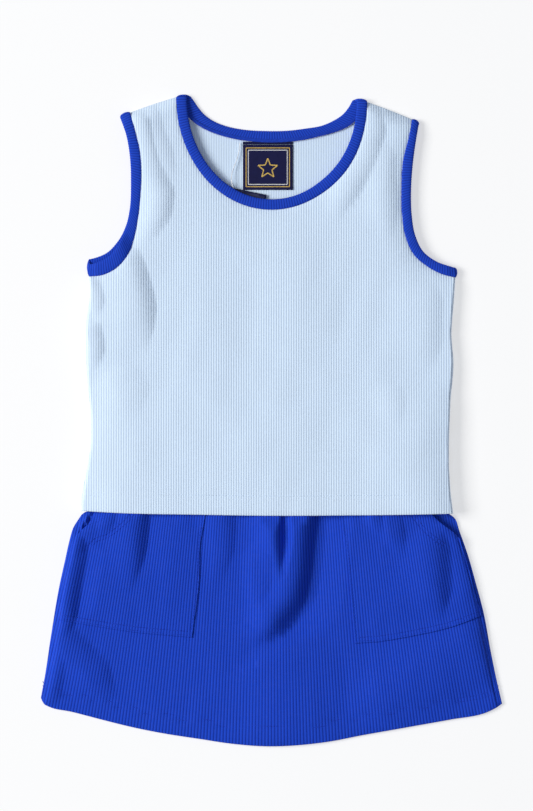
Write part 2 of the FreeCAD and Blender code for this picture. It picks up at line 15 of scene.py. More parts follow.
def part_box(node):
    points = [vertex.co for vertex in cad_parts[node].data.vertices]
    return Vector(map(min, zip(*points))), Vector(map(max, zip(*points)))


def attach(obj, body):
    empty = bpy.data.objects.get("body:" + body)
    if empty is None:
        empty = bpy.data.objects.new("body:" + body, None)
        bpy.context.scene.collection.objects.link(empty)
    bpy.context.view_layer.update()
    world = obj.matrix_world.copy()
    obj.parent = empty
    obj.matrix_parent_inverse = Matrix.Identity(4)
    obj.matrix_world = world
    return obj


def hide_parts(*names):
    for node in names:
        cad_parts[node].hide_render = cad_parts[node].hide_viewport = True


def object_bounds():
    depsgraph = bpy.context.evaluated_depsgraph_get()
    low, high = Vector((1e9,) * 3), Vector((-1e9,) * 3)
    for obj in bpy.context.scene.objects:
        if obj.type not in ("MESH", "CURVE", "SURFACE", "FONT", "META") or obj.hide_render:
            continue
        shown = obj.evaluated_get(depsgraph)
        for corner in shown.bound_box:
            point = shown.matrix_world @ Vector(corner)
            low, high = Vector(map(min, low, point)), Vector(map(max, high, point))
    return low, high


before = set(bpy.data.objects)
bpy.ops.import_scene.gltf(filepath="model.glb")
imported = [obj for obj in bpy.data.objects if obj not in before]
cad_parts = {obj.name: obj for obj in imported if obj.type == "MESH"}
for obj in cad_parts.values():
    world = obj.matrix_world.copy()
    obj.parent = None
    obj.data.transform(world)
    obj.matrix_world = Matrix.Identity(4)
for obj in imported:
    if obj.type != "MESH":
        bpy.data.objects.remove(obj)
cad_low, cad_high = [list(corner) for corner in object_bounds()]
scene = bpy.context.scene
MM = 0.001


def node_box(node):
    """A node's lowest and highest corners in millimetres."""
    return [np.array(corner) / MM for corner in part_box(node)]


# --- camera, then the one cord ---

LENS, SENSOR = 200.0, 36.0
VIEW_TALL = 0.6488          # metres seen from top to bottom at the front cloth's height
FRONT_HEIGHT = 0.0080
VIEW_SHIFT = -0.0042, 0.0119     # from the middle of the clothes to the middle of the view
camera_data = bpy.data.cameras.new("camera")
camera_data.lens, camera_data.sensor_width = LENS, SENSOR
camera = bpy.data.objects.new("camera", camera_data)
scene.collection.objects.link(camera)
camera.location = (
    (cad_low[0] + cad_high[0]) / 2 + VIEW_SHIFT[0],
    (cad_low[1] + cad_high[1]) / 2 + VIEW_SHIFT[1],
    FRONT_HEIGHT + VIEW_TALL * LENS / SENSOR,
)
scene.camera = camera

FASTENER_ROUTE = [
    (-25.6, 222.4, 2.5), (-26.0, 215.5, 2.9), (-28.4, 207.6, 3.5), (-31.6, 199.6, 4.3), (-32.6, 192.4, 5.0),
    (-31.0, 186.6, 5.3), (-29.6, 182.9, 4.9), (-29.49, 180.97, 4.15),
]
FASTENER_DIAMETER = 0.0007
filament_curve = bpy.data.curves.new("fastener_filament", "CURVE")
filament_curve.dimensions = "3D"
spline = filament_curve.splines.new("NURBS")
spline.points.add(len(FASTENER_ROUTE) - 1)
for point, place in zip(spline.points, FASTENER_ROUTE):
    point.co = (*(value * MM for value in place), 1)
spline.order_u = 3
spline.use_endpoint_u = True
filament_curve.bevel_depth = FASTENER_DIAMETER / 2
filament_curve.bevel_resolution = 3
filament_curve.use_fill_caps = True
filament = bpy.data.objects.new("fastener_filament", filament_curve)
scene.collection.objects.link(filament)

# --- sums on plan points ---


def ramp(value, low, high):
    """0 below low, 1 above high, smooth between."""
    part = np.clip((value - low) / (high - low), 0, 1)
    return part * part * (3 - 2 * part)


def bell(off, width):
    """1 at no distance, dying away over about width."""
    return np.exp(-((off / width) ** 2))


def distances(points):
    """How far along a line each of its places is."""
    return np.r_[0, np.cumsum(np.linalg.norm(np.diff(points, axis=0), axis=1))]


def at(points, travelled, wanted):
    """The places of a line at the wanted distances, its own places being at travelled."""
    return np.stack([np.interp(wanted, travelled, points[:, k]) for k in range(points.shape[1])], axis=1)


def through(points, step=3.0):
    """Places about step apart on a smooth line through the points."""
    points = np.array(points, float)
    travelled = distances(points)
    slope = np.gradient(points, travelled, axis=0)
    wanted = np.linspace(0, travelled[-1], max(2, int(round(travelled[-1] / step)) + 1))
    here = np.clip(np.searchsorted(travelled, wanted, side="right") - 1, 0, len(points) - 2)
    gap = (travelled[here + 1] - travelled[here])[:, None]
    part = (wanted - travelled[here])[:, None] / gap
    return (
        (2 * part**3 - 3 * part**2 + 1) * points[here]
        + (part**3 - 2 * part**2 + part) * gap * slope[here]
        + (3 * part**2 - 2 * part**3) * points[here + 1]
        + (part**3 - part**2) * gap * slope[here + 1]
    )


def spread(points, count):
    """count places evenly along a line of 2-D or 3-D points."""
    travelled = distances(points)
    return at(points, travelled, np.linspace(0, travelled[-1], count))


def beside(x, y, line):
    """Signed distance to a line (positive to its left), and how far along it the nearest place is, 0 to 1."""
    line = np.array(line, float)
    runs = np.diff(line, axis=0)
    lengths = np.linalg.norm(runs, axis=1)
    starts = np.r_[0, np.cumsum(lengths)]
    best = np.full(np.shape(x), np.inf)
    side, along = np.zeros_like(best), np.zeros_like(best)
    for (ax, ay), (rx, ry), length, start in zip(line, runs, lengths, starts):
        part = np.clip(((x - ax) * rx + (y - ay) * ry) / length**2, 0, 1)
        off = np.hypot(x - ax - part * rx, y - ay - part * ry)
        nearer = off < best
        best = np.where(nearer, off, best)
        side = np.where(nearer, np.sign(rx * (y - ay) - ry * (x - ax)), side)
        along = np.where(nearer, (start + part * length) / starts[-1], along)
    return best * np.where(side == 0, 1, side), along


def away(x, y, line):
    return np.abs(beside(x, y, line)[0])


def within(x, y, line):
    """Distance inside an outline's line, 0 beyond it. The outlines run with the cloth on their left."""
    return np.clip(beside(x, y, line)[0], 0, None)


def fold(x, y, line, rise, drop, height, start=0.2, finish=0.4, roll=2.4):
    """A fold whose crest follows a line. It climbs over rise on the line's right and drops within drop on
    its left. start and finish are the shares of its length over which it grows and dies away."""
    off, along = beside(x, y, line)
    grown = ramp(1 - along, 0, finish) * (ramp(along, 0, start) if start else 1)
    narrow = 0.4 + 0.6 * grown
    climb = bell(off, rise * narrow)
    fall = np.clip(1 - np.clip(off / (drop * narrow), 0, 1) ** roll, 0, 1) ** 1.35
    return height * grown * np.where(off < 0, climb, fall)


def above_hem(x, y, hem):
    return y - np.interp(x, [place[0] for place in hem], [place[1] for place in hem])


def folded(x, y, table):
    return sum(fold(x, y, *entry) for entry in table)


def ripples(seed, count, shortest, longest, upright=1.0):
    """A smooth uneven surface between about -1 and 1. upright above 1 stretches it along Y."""
    draw = np.random.default_rng(seed)
    turns = draw.uniform(0, 2 * math.pi, count)
    waves = 2 * math.pi / draw.uniform(shortest, longest, count)
    phases = draw.uniform(0, 2 * math.pi, count)

    def height(x, y):
        total = 0
        for turn, wave, phase in zip(turns, waves, phases):
            total = total + np.sin(wave * (x * math.cos(turn) + y * math.sin(turn) / upright) + phase)
        return total / count**0.5 / 1.6

    return height


def lowered(level, edges):
    """A level that falls towards each edge, given as (distance, level at the edge, reach)."""
    total = 0
    for distance, edge_level, reach in edges:
        drop = (level - edge_level) * (1 - np.clip(distance / reach, 0, 1)) ** 2.6
        total = total + np.clip(drop, 0, None) ** 4
    return level - total**0.25


def rib(turns):
    """Height across a rib, 0 in the groove at every whole turn and 1 on its crown."""
    crown = 2 * np.abs(turns - np.round(turns))
    return 1 - (1 - crown) ** 2.4


# --- plan lines ---

TOP_LEFT_SIDE = [
    (-146.2, 115), (-145.4, 102), (-148.2, 82), (-148.8, 55.5), (-147.5, 29), (-144.8, 2), (-144.8, -17),
    (-147.8, -37), (-152.4, -66), (-152, -72.5),
]
TOP_HEM = [
    (-152, -72.5), (-120, -74.2), (-60, -75.4), (0, -76.3), (60, -76), (110, -75.4), (145.2, -74.6),
]
TOP_RIGHT_SIDE = [
    (145.2, -74.6), (143.2, -57), (142, -37), (142, -17), (143.2, 15.5), (145.6, 46), (143.9, 69),
    (145.8, 95), (147, 114.2),
]
RIGHT_ARM_BODY = [
    (147, 114.2), (136.2, 117.1), (124.2, 123.5), (113.8, 132.6), (107.2, 146.7), (104.2, 165.1),
    (103.9, 185.9), (104.8, 205.9), (110, 228.3), (112.4, 241.1),
]
RIGHT_ARM_HOLE = [
    (145.9, 122.4), (131.4, 127.5), (121, 135.5), (114.9, 147.8), (111.9, 165.1), (111.4, 182.7),
    (112.6, 203), (115, 222), (117.4, 236.4),
]
RIGHT_SHOULDER = [(112.4, 241.1), (94, 248.6), (76.7, 255)]
LEFT_SHOULDER = [(-76.6, 259), (-95, 253.2), (-113.4, 246.7)]
LEFT_ARM_BODY = [
    (-113.4, 246.7), (-108.4, 228.5), (-105.4, 215.2), (-104.3, 198.7), (-105, 180.3), (-107, 161.9),
    (-110.4, 144.8), (-116.6, 129.9), (-125.7, 120.6), (-135.8, 116), (-146.2, 115),
]
LEFT_ARM_HOLE = [
    (-121.1, 242.2), (-116.6, 229.4), (-113.4, 211.1), (-112.6, 190.7), (-113.4, 170.2), (-116.6, 155),
    (-122.6, 140.7), (-131, 130.7), (-141.5, 125.9), (-145, 125),
]

NECK_MIDDLE = node_box("neck_binding")[1][1] - 3.3
BAND = 8.5


def neck_arc(half, drop, count=90):
    """Half an ellipse below the neck's middle, from right to left, the right shoulder a little lower."""
    turn = np.linspace(0, math.pi, count)
    arc = np.stack([half * np.cos(turn), NECK_MIDDLE - drop * np.sin(turn)], axis=1)
    arc[:, 1] -= 2.8 * ramp(arc[:, 0], 35, 72) - 0.6 * ramp(-arc[:, 0], 50, 72)
    return arc


BACK_NECK_HOLE = [
    (-64.6, 259.2), (-62.6, 256.6), (-59.1, 251.4), (-53.8, 245.1), (-47.4, 240.4), (-36.8, 236),
    (-22.7, 233.1), (-5.1, 232), (14.6, 232.4), (27.4, 234), (40.3, 236.3), (49.7, 240.4), (56.7, 245.1),
    (61.2, 250.4), (64.4, 256),
]
FRONT_NECK = (76.5, 89.5)    # a neckline's half width and depth
BACK_NECK = (75.0, 35.5)


def wider(neck, by):
    """A neckline, by millimetres further out."""
    return neck_arc(neck[0] + by, neck[1] + by)


SKIRT_LEFT_SIDE = [
    (-120, -60), (-139, -70), (-147, -72.6), (-151.4, -74.6), (-154.4, -78.6), (-159, -86), (-162, -96),
    (-165.6, -112), (-169.4, -129), (-177.4, -176), (-181.6, -204), (-185, -222.4),
]
SKIRT_HEM = [
    (-185, -222.4), (-182.6, -227.2), (-177.7, -229.8), (-161, -233.4), (-136.6, -239.7), (-112, -245.8),
    (-88, -250.6), (-57, -255.4), (-33, -259), (0, -261.2), (24, -260), (48.6, -257), (70.6, -252.7),
    (98.6, -247.7), (124, -243.2), (142, -240), (174.6, -233), (181, -229.6), (184.6, -227),
]
SKIRT_RIGHT_SIDE = [
    (184.6, -227), (180.2, -208), (175.4, -184.5), (170, -155), (162.9, -128), (157.2, -108),
    (150.5, -89), (146.3, -78), (142, -74.8), (137, -71.5), (120, -60),
]


def joined(*lines):
    """A closed outline of lines that are each smooth, without repeating the corner between two of them."""
    whole = []
    for line in lines:
        for place in through(line):
            if not whole or np.linalg.norm(place - whole[-1]) > 0.4:
                whole.append(place)
    if np.linalg.norm(whole[0] - whole[-1]) < 0.4:
        whole.pop()
    return np.array(whole)


# --- heights ---

BACK_TOP = node_box("top_back_panel")[1][2]
TUCKED_TOP = node_box("skirt_back_panel")[1][2]
CLOTH = 1.0
EDGE_LEVEL = BACK_TOP + CLOTH + 0.1
HEM_ROWS = 12.6, 15.8        # stitch rows above the top's hem edge
SKIRT_ROWS = 13.2, 16.4      # stitch rows above the skirt's hem edge
HEM_EDGE = 0.9               # how far in from a hem's edge it thins
SIDE_ROLL = 1.8              # how far in from the top's sides the front rolls down to the back
ARM_LEVEL, ARM_REACH = EDGE_LEVEL + 5.2, 20
NECK_LEVEL, NECK_REACH = 7.4, 46
UNDERARM, HEM_CORNER, CORNER_LIFT = 118, -75, 2.2

# A fold's crest line, then its rise, drop, height, start, finish and, for some, roll.
TOP_FOLDS = [
    ([(-112, 250), (-108, 222), (-103, 203), (-96, 190), (-91, 181), (-93, 168), (-99, 154), (-107, 138)],
     12, 14, 2.9, 0.1, 0.3),
    ([(-104, 258), (-97, 230), (-86, 205), (-80, 188)], 9, 12, 1.3, 0.2, 0.4),
    ([(-126, 140), (-117, 118), (-111, 98), (-107, 75), (-105, 50)], 32, 18, 4.2, 0.15, 0.45),
    ([(-150, 116), (-144, 98), (-140, 82)], 5, 11, 2.2, 0.2, 0.4),
    ([(-149, 80), (-145, 62), (-144, 40)], 4, 12, 2.6, 0.2, 0.4),
    ([(-132, 44), (-120, 22), (-112, -2)], 14, 24, 1.3, 0.3, 0.5),
    ([(82, 254), (78, 232), (70, 210), (62, 193), (54, 176), (49, 158)], 14, 14, 3.0, 0.22, 0.35),
    ([(88, 226), (87, 195), (90, 165), (93, 140)], 12, 13, 1.2, 0.2, 0.4),
    ([(126, 114), (119, 90), (120, 62), (124, 38)], 22, 18, 1.4, 0.25, 0.35),
    ([(134, 34), (124, 0), (116, -25), (120, -50), (127, -84)], 30, 22, 2.0, 0.2, 0.05),
    ([(92, 32), (94, 12), (99, -8)], 12, 14, 0.9, 0.3, 0.5),
    ([(-58, 150), (-46, 90), (-52, 30), (-44, -30)], 30, 34, 0.8, 0.3, 0.3, 2.0),
    ([(18, 160), (24, 90), (14, 20), (22, -50)], 30, 34, 0.7, 0.3, 0.3, 2.0),
]
top_uneven = ripples(11, 9, 45, 120, upright=2.2)
top_fine = ripples(12, 10, 16, 34, upright=2.6)


def stitched(z, above, rows, depth, width, edge_depth):
    """A height with a groove along each stitch row, and lower at the hem's edge."""
    for row in rows:
        z = z - depth * bell(above - row, width)
    return z - edge_depth * bell(above, HEM_EDGE)


def top_front(x, y):
    """Upper face of the top's front panel, on the crowns of its ribs."""
    level = 9.4 + 4.4 * ramp(-y, -80, 42) - 0.5 * ramp(y, 130, 240)     # fullest over the skirt
    left_drop = 3.4 - 2.0 * ramp(y, 20, 60)
    level = level - left_drop * np.clip(1 - away(x, y, TOP_LEFT_SIDE) / 40, 0, 1) ** 2
    side_level = EDGE_LEVEL + (CORNER_LIFT * bell(y - UNDERARM, 13) + CORNER_LIFT * bell(y - HEM_CORNER, 9))
    arms = away(x, y, LEFT_ARM_BODY), away(x, y, RIGHT_ARM_BODY)
    z = lowered(level, [
        (within(x, y, TOP_LEFT_SIDE), side_level, SIDE_ROLL),
        (within(x, y, TOP_RIGHT_SIDE), side_level, SIDE_ROLL),
        (arms[0], ARM_LEVEL, ARM_REACH),
        (arms[1], ARM_LEVEL, ARM_REACH),
        (away(x, y, LEFT_SHOULDER), EDGE_LEVEL + 0.5, 15),
        (away(x, y, RIGHT_SHOULDER), EDGE_LEVEL + 0.5, 15),
        (away(x, y, neck_arc(*FRONT_NECK, 30)), NECK_LEVEL, NECK_REACH),
    ])
    over_skirt = ramp(y, -74, -20)
    inside = np.clip((z - EDGE_LEVEL) / 3, 0, 1)
    z = z + (folded(x, y, TOP_FOLDS) + 0.4 * top_uneven(x, y) * (0.35 + 0.65 * over_skirt)) * inside
    z = z - 1.2 * bell(x + 152, 22) * (1 - ramp(y, 5, 50)) * inside     # flatter at the lower left
    z = z + 0.16 * top_fine(x, y)
    z = stitched(z, above_hem(x, y, TOP_HEM), HEM_ROWS, 0.28, 0.9, 0.5)
    band_gap = np.minimum(away(x, y, neck_arc(*FRONT_NECK, 40)), np.minimum(*arms))
    return np.maximum(z - 0.45 * bell(band_gap, 1.3), EDGE_LEVEL)


def top_thickness(x, y):
    """The turned-up hem is thicker, except beside the sides."""
    side = np.minimum(away(x, y, TOP_LEFT_SIDE), away(x, y, TOP_RIGHT_SIDE))
    doubled = (1 - ramp(above_hem(x, y, TOP_HEM), 14.5, 17.5)) * ramp(side, 4, 20)
    return CLOTH + 0.35 * doubled


def level_at(level):
    """The same height everywhere."""
    return lambda x, y: np.full(np.shape(x), level)


one_cloth = level_at(CLOTH)


def top_back(x, y):
    return BACK_TOP + 0.25 * (1 + top_uneven(x, y)) * ramp(away(x, y, neck_arc(*BACK_NECK, 30)), 4, 30)


SKIRT_FOLDS = [
    ([(22, -45), (21, -78), (18, -100), (16, -120), (12, -140), (6, -150), (-3, -160), (-13, -170),
     (-20, -182)], 18, 18, 8.0, 0.0, 0.22),
    ([(40, -45), (39, -78), (37, -100), (35, -120), (31, -140), (24, -151), (14, -161), (3, -172),
     (-6, -184)], 11, 27, -5.0, 0.0, 0.25, 1.3),
    ([(-8, -176), (0, -190), (6, -212), (8, -240), (8, -264)], 30, 54, 2.8, 0.25, 0.05, 2.0),
    ([(-1, -45), (-1, -76), (0, -100), (3, -132)], 13, 11, 6.6, 0.0, 0.45),
    ([(12, -45), (12, -76), (11, -100), (9.5, -130)], 7, 6, -5.6, 0.0, 0.45, 1.8),
    ([(-15, -96), (-13, -120), (-14, -152)], 8, 14, 2.8, 0.3, 0.4),
    ([(-112, -45), (-111, -76), (-113, -108), (-118, -142)], 16, 14, 4.6, 0.0, 0.5),
    ([(-97, -45), (-97, -76), (-100, -108), (-107, -140)], 9, 26, -2.0, 0.0, 0.5, 1.3),
    ([(-158, -88), (-160, -108), (-164, -130), (-167, -150), (-168, -174)], 5, 13, 4.4, 0.15, 0.25),
    ([(-148, -92), (-150, -112), (-154, -134), (-157, -166)], 9, 16, -2.6, 0.2, 0.3, 1.6),
    ([(-135, -58), (-134, -76), (-136, -96)], 6, 11, 3.0, 0.0, 0.6),
    ([(-46, -45), (-44, -76), (-43, -104), (-47, -142)], 10, 16, 3.4, 0.0, 0.6),
    ([(-184, -160), (-166, -184), (-145, -205), (-126, -230)], 12, 19, 4.2, 0.2, 0.4),
    ([(-176, -182), (-179, -205), (-181, -230)], 3, 13, 2.6, 0.3, 0.2),
    ([(80, -45), (80, -76), (87, -96)], 6, 11, 5.2, 0.0, 0.6),
    ([(91, -66), (95, -88), (104, -112)], 7, 12, 3.0, 0.3, 0.5),
    ([(126, -82), (126, -104), (127, -130), (131, -164)], 18, 18, 4.6, 0.25, 0.4),
    ([(140, -84), (141, -104), (141, -130), (143, -156)], 9, 20, -2.0, 0.25, 0.4, 1.3),
    ([(180, -160), (140, -187), (90, -220), (56, -242)], 22, 40, 3.6, 0.2, 0.3, 2.0),
]
MOUTH_GAPS = [
    ([(-138.4, -60), (-142.4, -69), (-145.4, -75.4), (-149, -81), (-152.6, -86.4), (-155.2, -90.4)], 3.4,
     1.5, 2.8, 0.0, 0.25),
    ([(-137, -60), (-141, -69), (-144, -75.4), (-147.6, -81), (-151.2, -86.4), (-154.6, -91.2),
     (-157.4, -97)], 0.9, 3.2, -3.8, 0.0, 0.3, 1.4),
    ([(122, -64), (131, -74), (143, -82), (153, -92)], 5, 5.5, -6.0, 0.0, 0.3, 1.6),
]
CASING_MIDDLE = 10.3         # the skirt runs up into the waistband's casing at this level
UNDER_TOP = 11.4             # the skirt's crowns stay below this where the top lies over them
SKIRT_SIDE_REACH, SKIRT_HEM_REACH, SKIRT_HEM_LEVEL = 17, 42, 3.3
skirt_uneven = ripples(21, 9, 34, 90, upright=2.4)
skirt_fine = ripples(22, 10, 12, 26, upright=3.0)
gathers = ripples(23, 8, 7, 15, upright=9.0)


def tuck(y):
    """How much the skirt's back rises where the top's back lies under it."""
    return (TUCKED_TOP - BACK_TOP) * ramp(y, -79, -75.5)


def skirt_back(x, y):
    return BACK_TOP + tuck(y)


def skirt_front(x, y, gaps=MOUTH_GAPS):
    """Upper face of the skirt's front, on its ribs' crowns. gaps are the hollows at the pockets' mouths."""
    level = 5.6 + 0.9 * ramp(y, -240, -120) + 0.5 * ramp(y, -108, -76)
    side_level = EDGE_LEVEL + tuck(y)
    z = lowered(level, [
        (within(x, y, SKIRT_LEFT_SIDE), side_level, SKIRT_SIDE_REACH),
        (within(x, y, SKIRT_RIGHT_SIDE), side_level, SKIRT_SIDE_REACH),
        (within(x, y, SKIRT_HEM), SKIRT_HEM_LEVEL, SKIRT_HEM_REACH),
    ])
    tucked = ramp(y, -86, -74)
    inside = np.clip((z - side_level) / 3, 0, 1)
    folds = folded(x, y, SKIRT_FOLDS + gaps) + 0.35 * skirt_uneven(x, y) * (1 - 0.7 * tucked)
    folds = folds + 0.14 * skirt_fine(x, y) + 0.4 * gathers(x, y) * ramp(y, -104, -66)
    z = z + folds * inside
    under_top = UNDER_TOP + 6 * (1 - ramp(y, -92, -77))
    z = np.where(z > under_top - 1, under_top - np.exp(-(z - under_top + 1)), z)
    z = stitched(z, above_hem(x, y, SKIRT_HEM), SKIRT_ROWS, 0.5, 1.0, 0.35)
    seam = np.minimum(away(x, y, SKIRT_LEFT_SIDE), away(x, y, SKIRT_RIGHT_SIDE))
    z = z - 1.1 * bell(seam - 3.4, 0.9) * inside**0.3
    z = z + (CASING_MIDDLE - z) * ramp(y, -74, -63) * (1 - ramp(np.abs(x), 110, 119))
    return np.maximum(z, skirt_back(x, y) + CLOTH + 0.1)


# --- mesh makers ---


def piece(name, points, faces, loop_uv, material, body, stands_for=(), slot=None, outward=False):
    """A mesh object from millimetre points. loop_uv holds one pair per face corner."""
    mesh = bpy.data.meshes.new(name)
    mesh.from_pydata((np.asarray(points) * MM).tolist(), [], faces)
    layer = mesh.uv_layers.new(name="cloth")
    layer.data.foreach_set("uv", np.asarray(loop_uv, np.float32).ravel())
    mesh.polygons.foreach_set("use_smooth", np.ones(len(mesh.polygons), bool))
    if outward:
        work = bmesh.new()
        work.from_mesh(mesh)
        bmesh.ops.recalc_face_normals(work, faces=work.faces)
        work.to_mesh(mesh)
        work.free()
    mesh.materials.append(material)
    mesh.update()
    made = bpy.data.objects.new(name, mesh)
    scene.collection.objects.link(made)
    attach(made, body)
    if stands_for:
        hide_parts(*stands_for)
    return made


RIB_PLACES = (0.0, 0.16, 0.5, 0.84)
FLATTEN = 6.0            # rows are this much further apart than columns when the plan is triangulated
NUDGE = 1e-5             # keeps a column off the outline's own points
STATIONS_PER_RIB = 4     # along a closed band


def round_links(count, first=0):
    """Pairs that link count places in a round."""
    return [(first + index, first + (index + 1) % count) for index in range(count)]


def facing_up(flat, triangles, least=-1.0):
    """The triangles turned anticlockwise, without those whose doubled area isn't above least."""
    corners = flat[triangles]
    ahead, beyond = corners[:, 1] - corners[:, 0], corners[:, 2] - corners[:, 0]
    turned = ahead[:, 0] * beyond[:, 1] - ahead[:, 1] * beyond[:, 0]
    triangles[turned < 0] = triangles[turned < 0][:, ::-1]
    return triangles[np.abs(turned) > least]


def closed_sheet(name, upper, under, triangles, uv, *look):
    """A sheet from its upper and under points, closed along its rim."""
    size = len(upper)
    keys = {(a, b) for tri in triangles.tolist() for a, b in zip(tri, tri[1:] + tri[:1])}
    rim = sorted((a, b) for a, b in keys if (b, a) not in keys)
    faces = triangles.tolist() + (triangles[:, ::-1] + size).tolist()
    faces += [[b, a, a + size, b + size] for a, b in rim]
    loops = np.concatenate([np.array(face) for face in faces])
    return piece(name, np.concatenate([upper, under]), faces, np.concatenate([uv, uv])[loops], *look)


def even_fan(y):
    return np.ones_like(y)


def panel(name, outline, pitch, relief, height, thickness, *look, lean=even_fan, row=5.0):
    """A closed sheet of rib knit over a plan outline. lean(y) is how much wider the ribs' fan is at y."""
    ring = np.array(outline, float)
    flat = np.stack([ring[:, 0] / lean(ring[:, 1]), ring[:, 1]], axis=1)
    first, last = math.floor(flat[:, 0].min() / pitch), math.ceil(flat[:, 0].max() / pitch)
    columns = np.array([(turn + part) * pitch for turn in range(first, last + 1) for part in RIB_PLACES])
    edge = []
    for start, finish in zip(flat, np.roll(flat, -1, axis=0)):
        edge.append(start)
        low, high = sorted((start[0], finish[0]))
        inside = columns[(columns > low + 0.02) & (columns < high - 0.02)]
        if finish[0] < start[0]:
            inside = inside[::-1]
        for column in inside:
            part = (column - start[0]) / (finish[0] - start[0])
            edge.append(start + part * (finish - start))
    edge = np.array(edge)
    following = np.roll(edge, -1, axis=0)
    grid = []
    for column in columns:
        crossed = (edge[:, 0] - column - NUDGE) * (following[:, 0] - column - NUDGE) < 0
        part = (column + NUDGE - edge[crossed, 0]) / (following[crossed, 0] - edge[crossed, 0])
        levels = np.sort(edge[crossed, 1] + part * (following[crossed, 1] - edge[crossed, 1]))
        for low, high in zip(levels[::2], levels[1::2]):
            lowest = math.ceil((low + 0.9) / row) * row
            grid += [(column, level) for level in np.arange(lowest, high - 0.9, row)]
            grid += [(column, level) for level in (low + 0.8, high - 0.8) if high - low > 4]
    flat = np.concatenate([edge, np.array(grid)])
    squeezed = [Vector((u, v / FLATTEN)) for u, v in flat]
    placed, _, triangles, *_ = delaunay_2d_cdt(squeezed, round_links(len(edge)), [], 1, 1e-6)
    flat = np.array(placed)
    flat[:, 1] *= FLATTEN
    triangles = facing_up(flat, np.array(triangles), 1e-7)
    x, y = flat[:, 0] * lean(flat[:, 1]), flat[:, 1]
    top = height(x, y)
    upper = np.stack([x, y, top + relief * (rib(flat[:, 0] / pitch) - 1)], axis=1)
    under = np.stack([x, y, top - thickness(x, y)], axis=1)
    return closed_sheet(name, upper, under, triangles, flat / pitch, *look)


def sweep(name, edge_a, edge_b, thickness, pitch, relief, *look, closed=False, square=3.2, sides=16,
          scallop=0.0, ruffle=None):
    """A flat band with cross ribs between two 3-D edge lines that have as many places each."""
    middle, across = (edge_a + edge_b) / 2, (edge_b - edge_a) / 2
    stations = len(middle)
    if closed:
        tangent = np.roll(middle, -1, axis=0) - np.roll(middle, 1, axis=0)
    else:
        tangent = np.gradient(middle, axis=0)
    normal = np.cross(across, tangent)
    normal /= np.linalg.norm(normal, axis=1)[:, None]
    half = np.linalg.norm(across, axis=1)
    if closed:
        turns = np.arange(stations) / STATIONS_PER_RIB
    else:
        turns = distances(middle) / pitch
    height = rib(turns)
    turn = np.linspace(0, 2 * math.pi, sides, endpoint=False) + math.pi / sides
    wide = np.sign(np.cos(turn)) * np.abs(np.cos(turn)) ** (2 / square)
    thick = np.sign(np.sin(turn)) * np.abs(np.sin(turn)) ** (2 / square)
    deep = thickness / 2 + relief * (height - 1)
    stretch = 1 + scallop * (height - 1) / half
    points = (
        middle[:, None, :]
        + across[:, None, :] * wide[None, :, None] * np.where(wide < 0, stretch[:, None], 1)[:, :, None]
        + normal[:, None, :] * deep[:, None, None] * thick[None, :, None]
    )
    if ruffle is not None:
        points = points + normal[:, None, :] * ruffle[:, None, None]
    points = points.reshape(-1, 3)
    faces, loops = [], []
    around = np.r_[0, np.cumsum(np.hypot(np.diff(np.r_[wide, wide[0]]) * half.mean(),
                                         np.diff(np.r_[thick, thick[0]]) * thickness / 2))] / pitch
    for station in range(stations if closed else stations - 1):
        after = (station + 1) % stations
        here_u = turns[station]
        after_u = here_u + 1 / STATIONS_PER_RIB if closed else turns[after]
        for index in range(sides):
            beyond = (index + 1) % sides
            faces.append([station * sides + index, after * sides + index, after * sides + beyond,
                          station * sides + beyond])
            loops += [(here_u, around[index]), (after_u, around[index]), (after_u, around[index + 1]),
                      (here_u, around[index + 1])]
    if not closed:
        for station in (0, stations - 1):
            cap = [station * sides + index for index in range(sides)]
            faces.append(cap if station else cap[::-1])
            loops += [(turns[station], 0.0)] * sides
    return piece(name, points, faces, loops, *look, outward=True)


def capsule():
    """A unit stitch along X: points and faces of a closed rounded bar."""
    points, faces, around, along = [(-0.5, 0, 0)], [], 6, (-0.36, 0.0, 0.36)
    for place in along:
        size = 0.5 if place == 0 else 0.4
        for index in range(around):
            turn = 2 * math.pi * index / around
            points.append((place, size * math.cos(turn), size * math.sin(turn)))
    points.append((0.5, 0, 0))
    for index in range(around):
        beyond = (index + 1) % around
        faces.append([0, 1 + beyond, 1 + index])
        for ring in range(len(along) - 1):
            base = 1 + ring * around
            faces.append([base + index, base + beyond, base + around + beyond, base + around + index])
        base = 1 + (len(along) - 1) * around
        faces.append([base + index, base + beyond, len(points) - 1])
    return np.array(points), faces


STITCH_POINTS, STITCH_FACES = capsule()


def stitches(name, lines, height, *look, pitch=2.7, length=2.2, width=0.55, lift=0.05, across=False):
    """Thread along plan lines, one rounded bar per stitch. across lays satin stitches over the line."""
    points, faces = [], []
    for line in lines:
        line = np.array(line, float)
        run = np.linalg.norm(np.diff(line, axis=0), axis=1).sum()
        places = spread(line, max(2, int(round(run / pitch)) + 1))
        middles, ways = (places[1:] + places[:-1]) / 2, np.diff(places, axis=0)
        ways /= np.linalg.norm(ways, axis=1)[:, None]
        if across:
            ways = np.stack([-ways[:, 1], ways[:, 0]], axis=1)
        ends = [middles + sign * ways * length / 2 for sign in (-1, 1)]
        heights = [height(end[:, 0], end[:, 1]) for end in ends]
        for index, middle in enumerate(middles):
            start = np.array([*ends[0][index], heights[0][index]])
            finish = np.array([*ends[1][index], heights[1][index]])
            forward = finish - start
            size = np.linalg.norm(forward)
            forward /= size
            left = np.cross([0, 0, 1], forward)
            left /= np.linalg.norm(left)
            up = np.cross(forward, left)
            centre = (start + finish) / 2 + up * lift
            frame_of = np.stack([forward * size, left * width, up * width * 0.8])
            faces += [[corner + len(points) for corner in face] for face in STITCH_FACES]
            points += (centre + STITCH_POINTS @ frame_of).tolist()
    points = np.array(points)
    loops = np.concatenate([np.array(face) for face in faces])
    return piece(name, points, faces, points[loops][:, :2], *look)


# --- materials ---


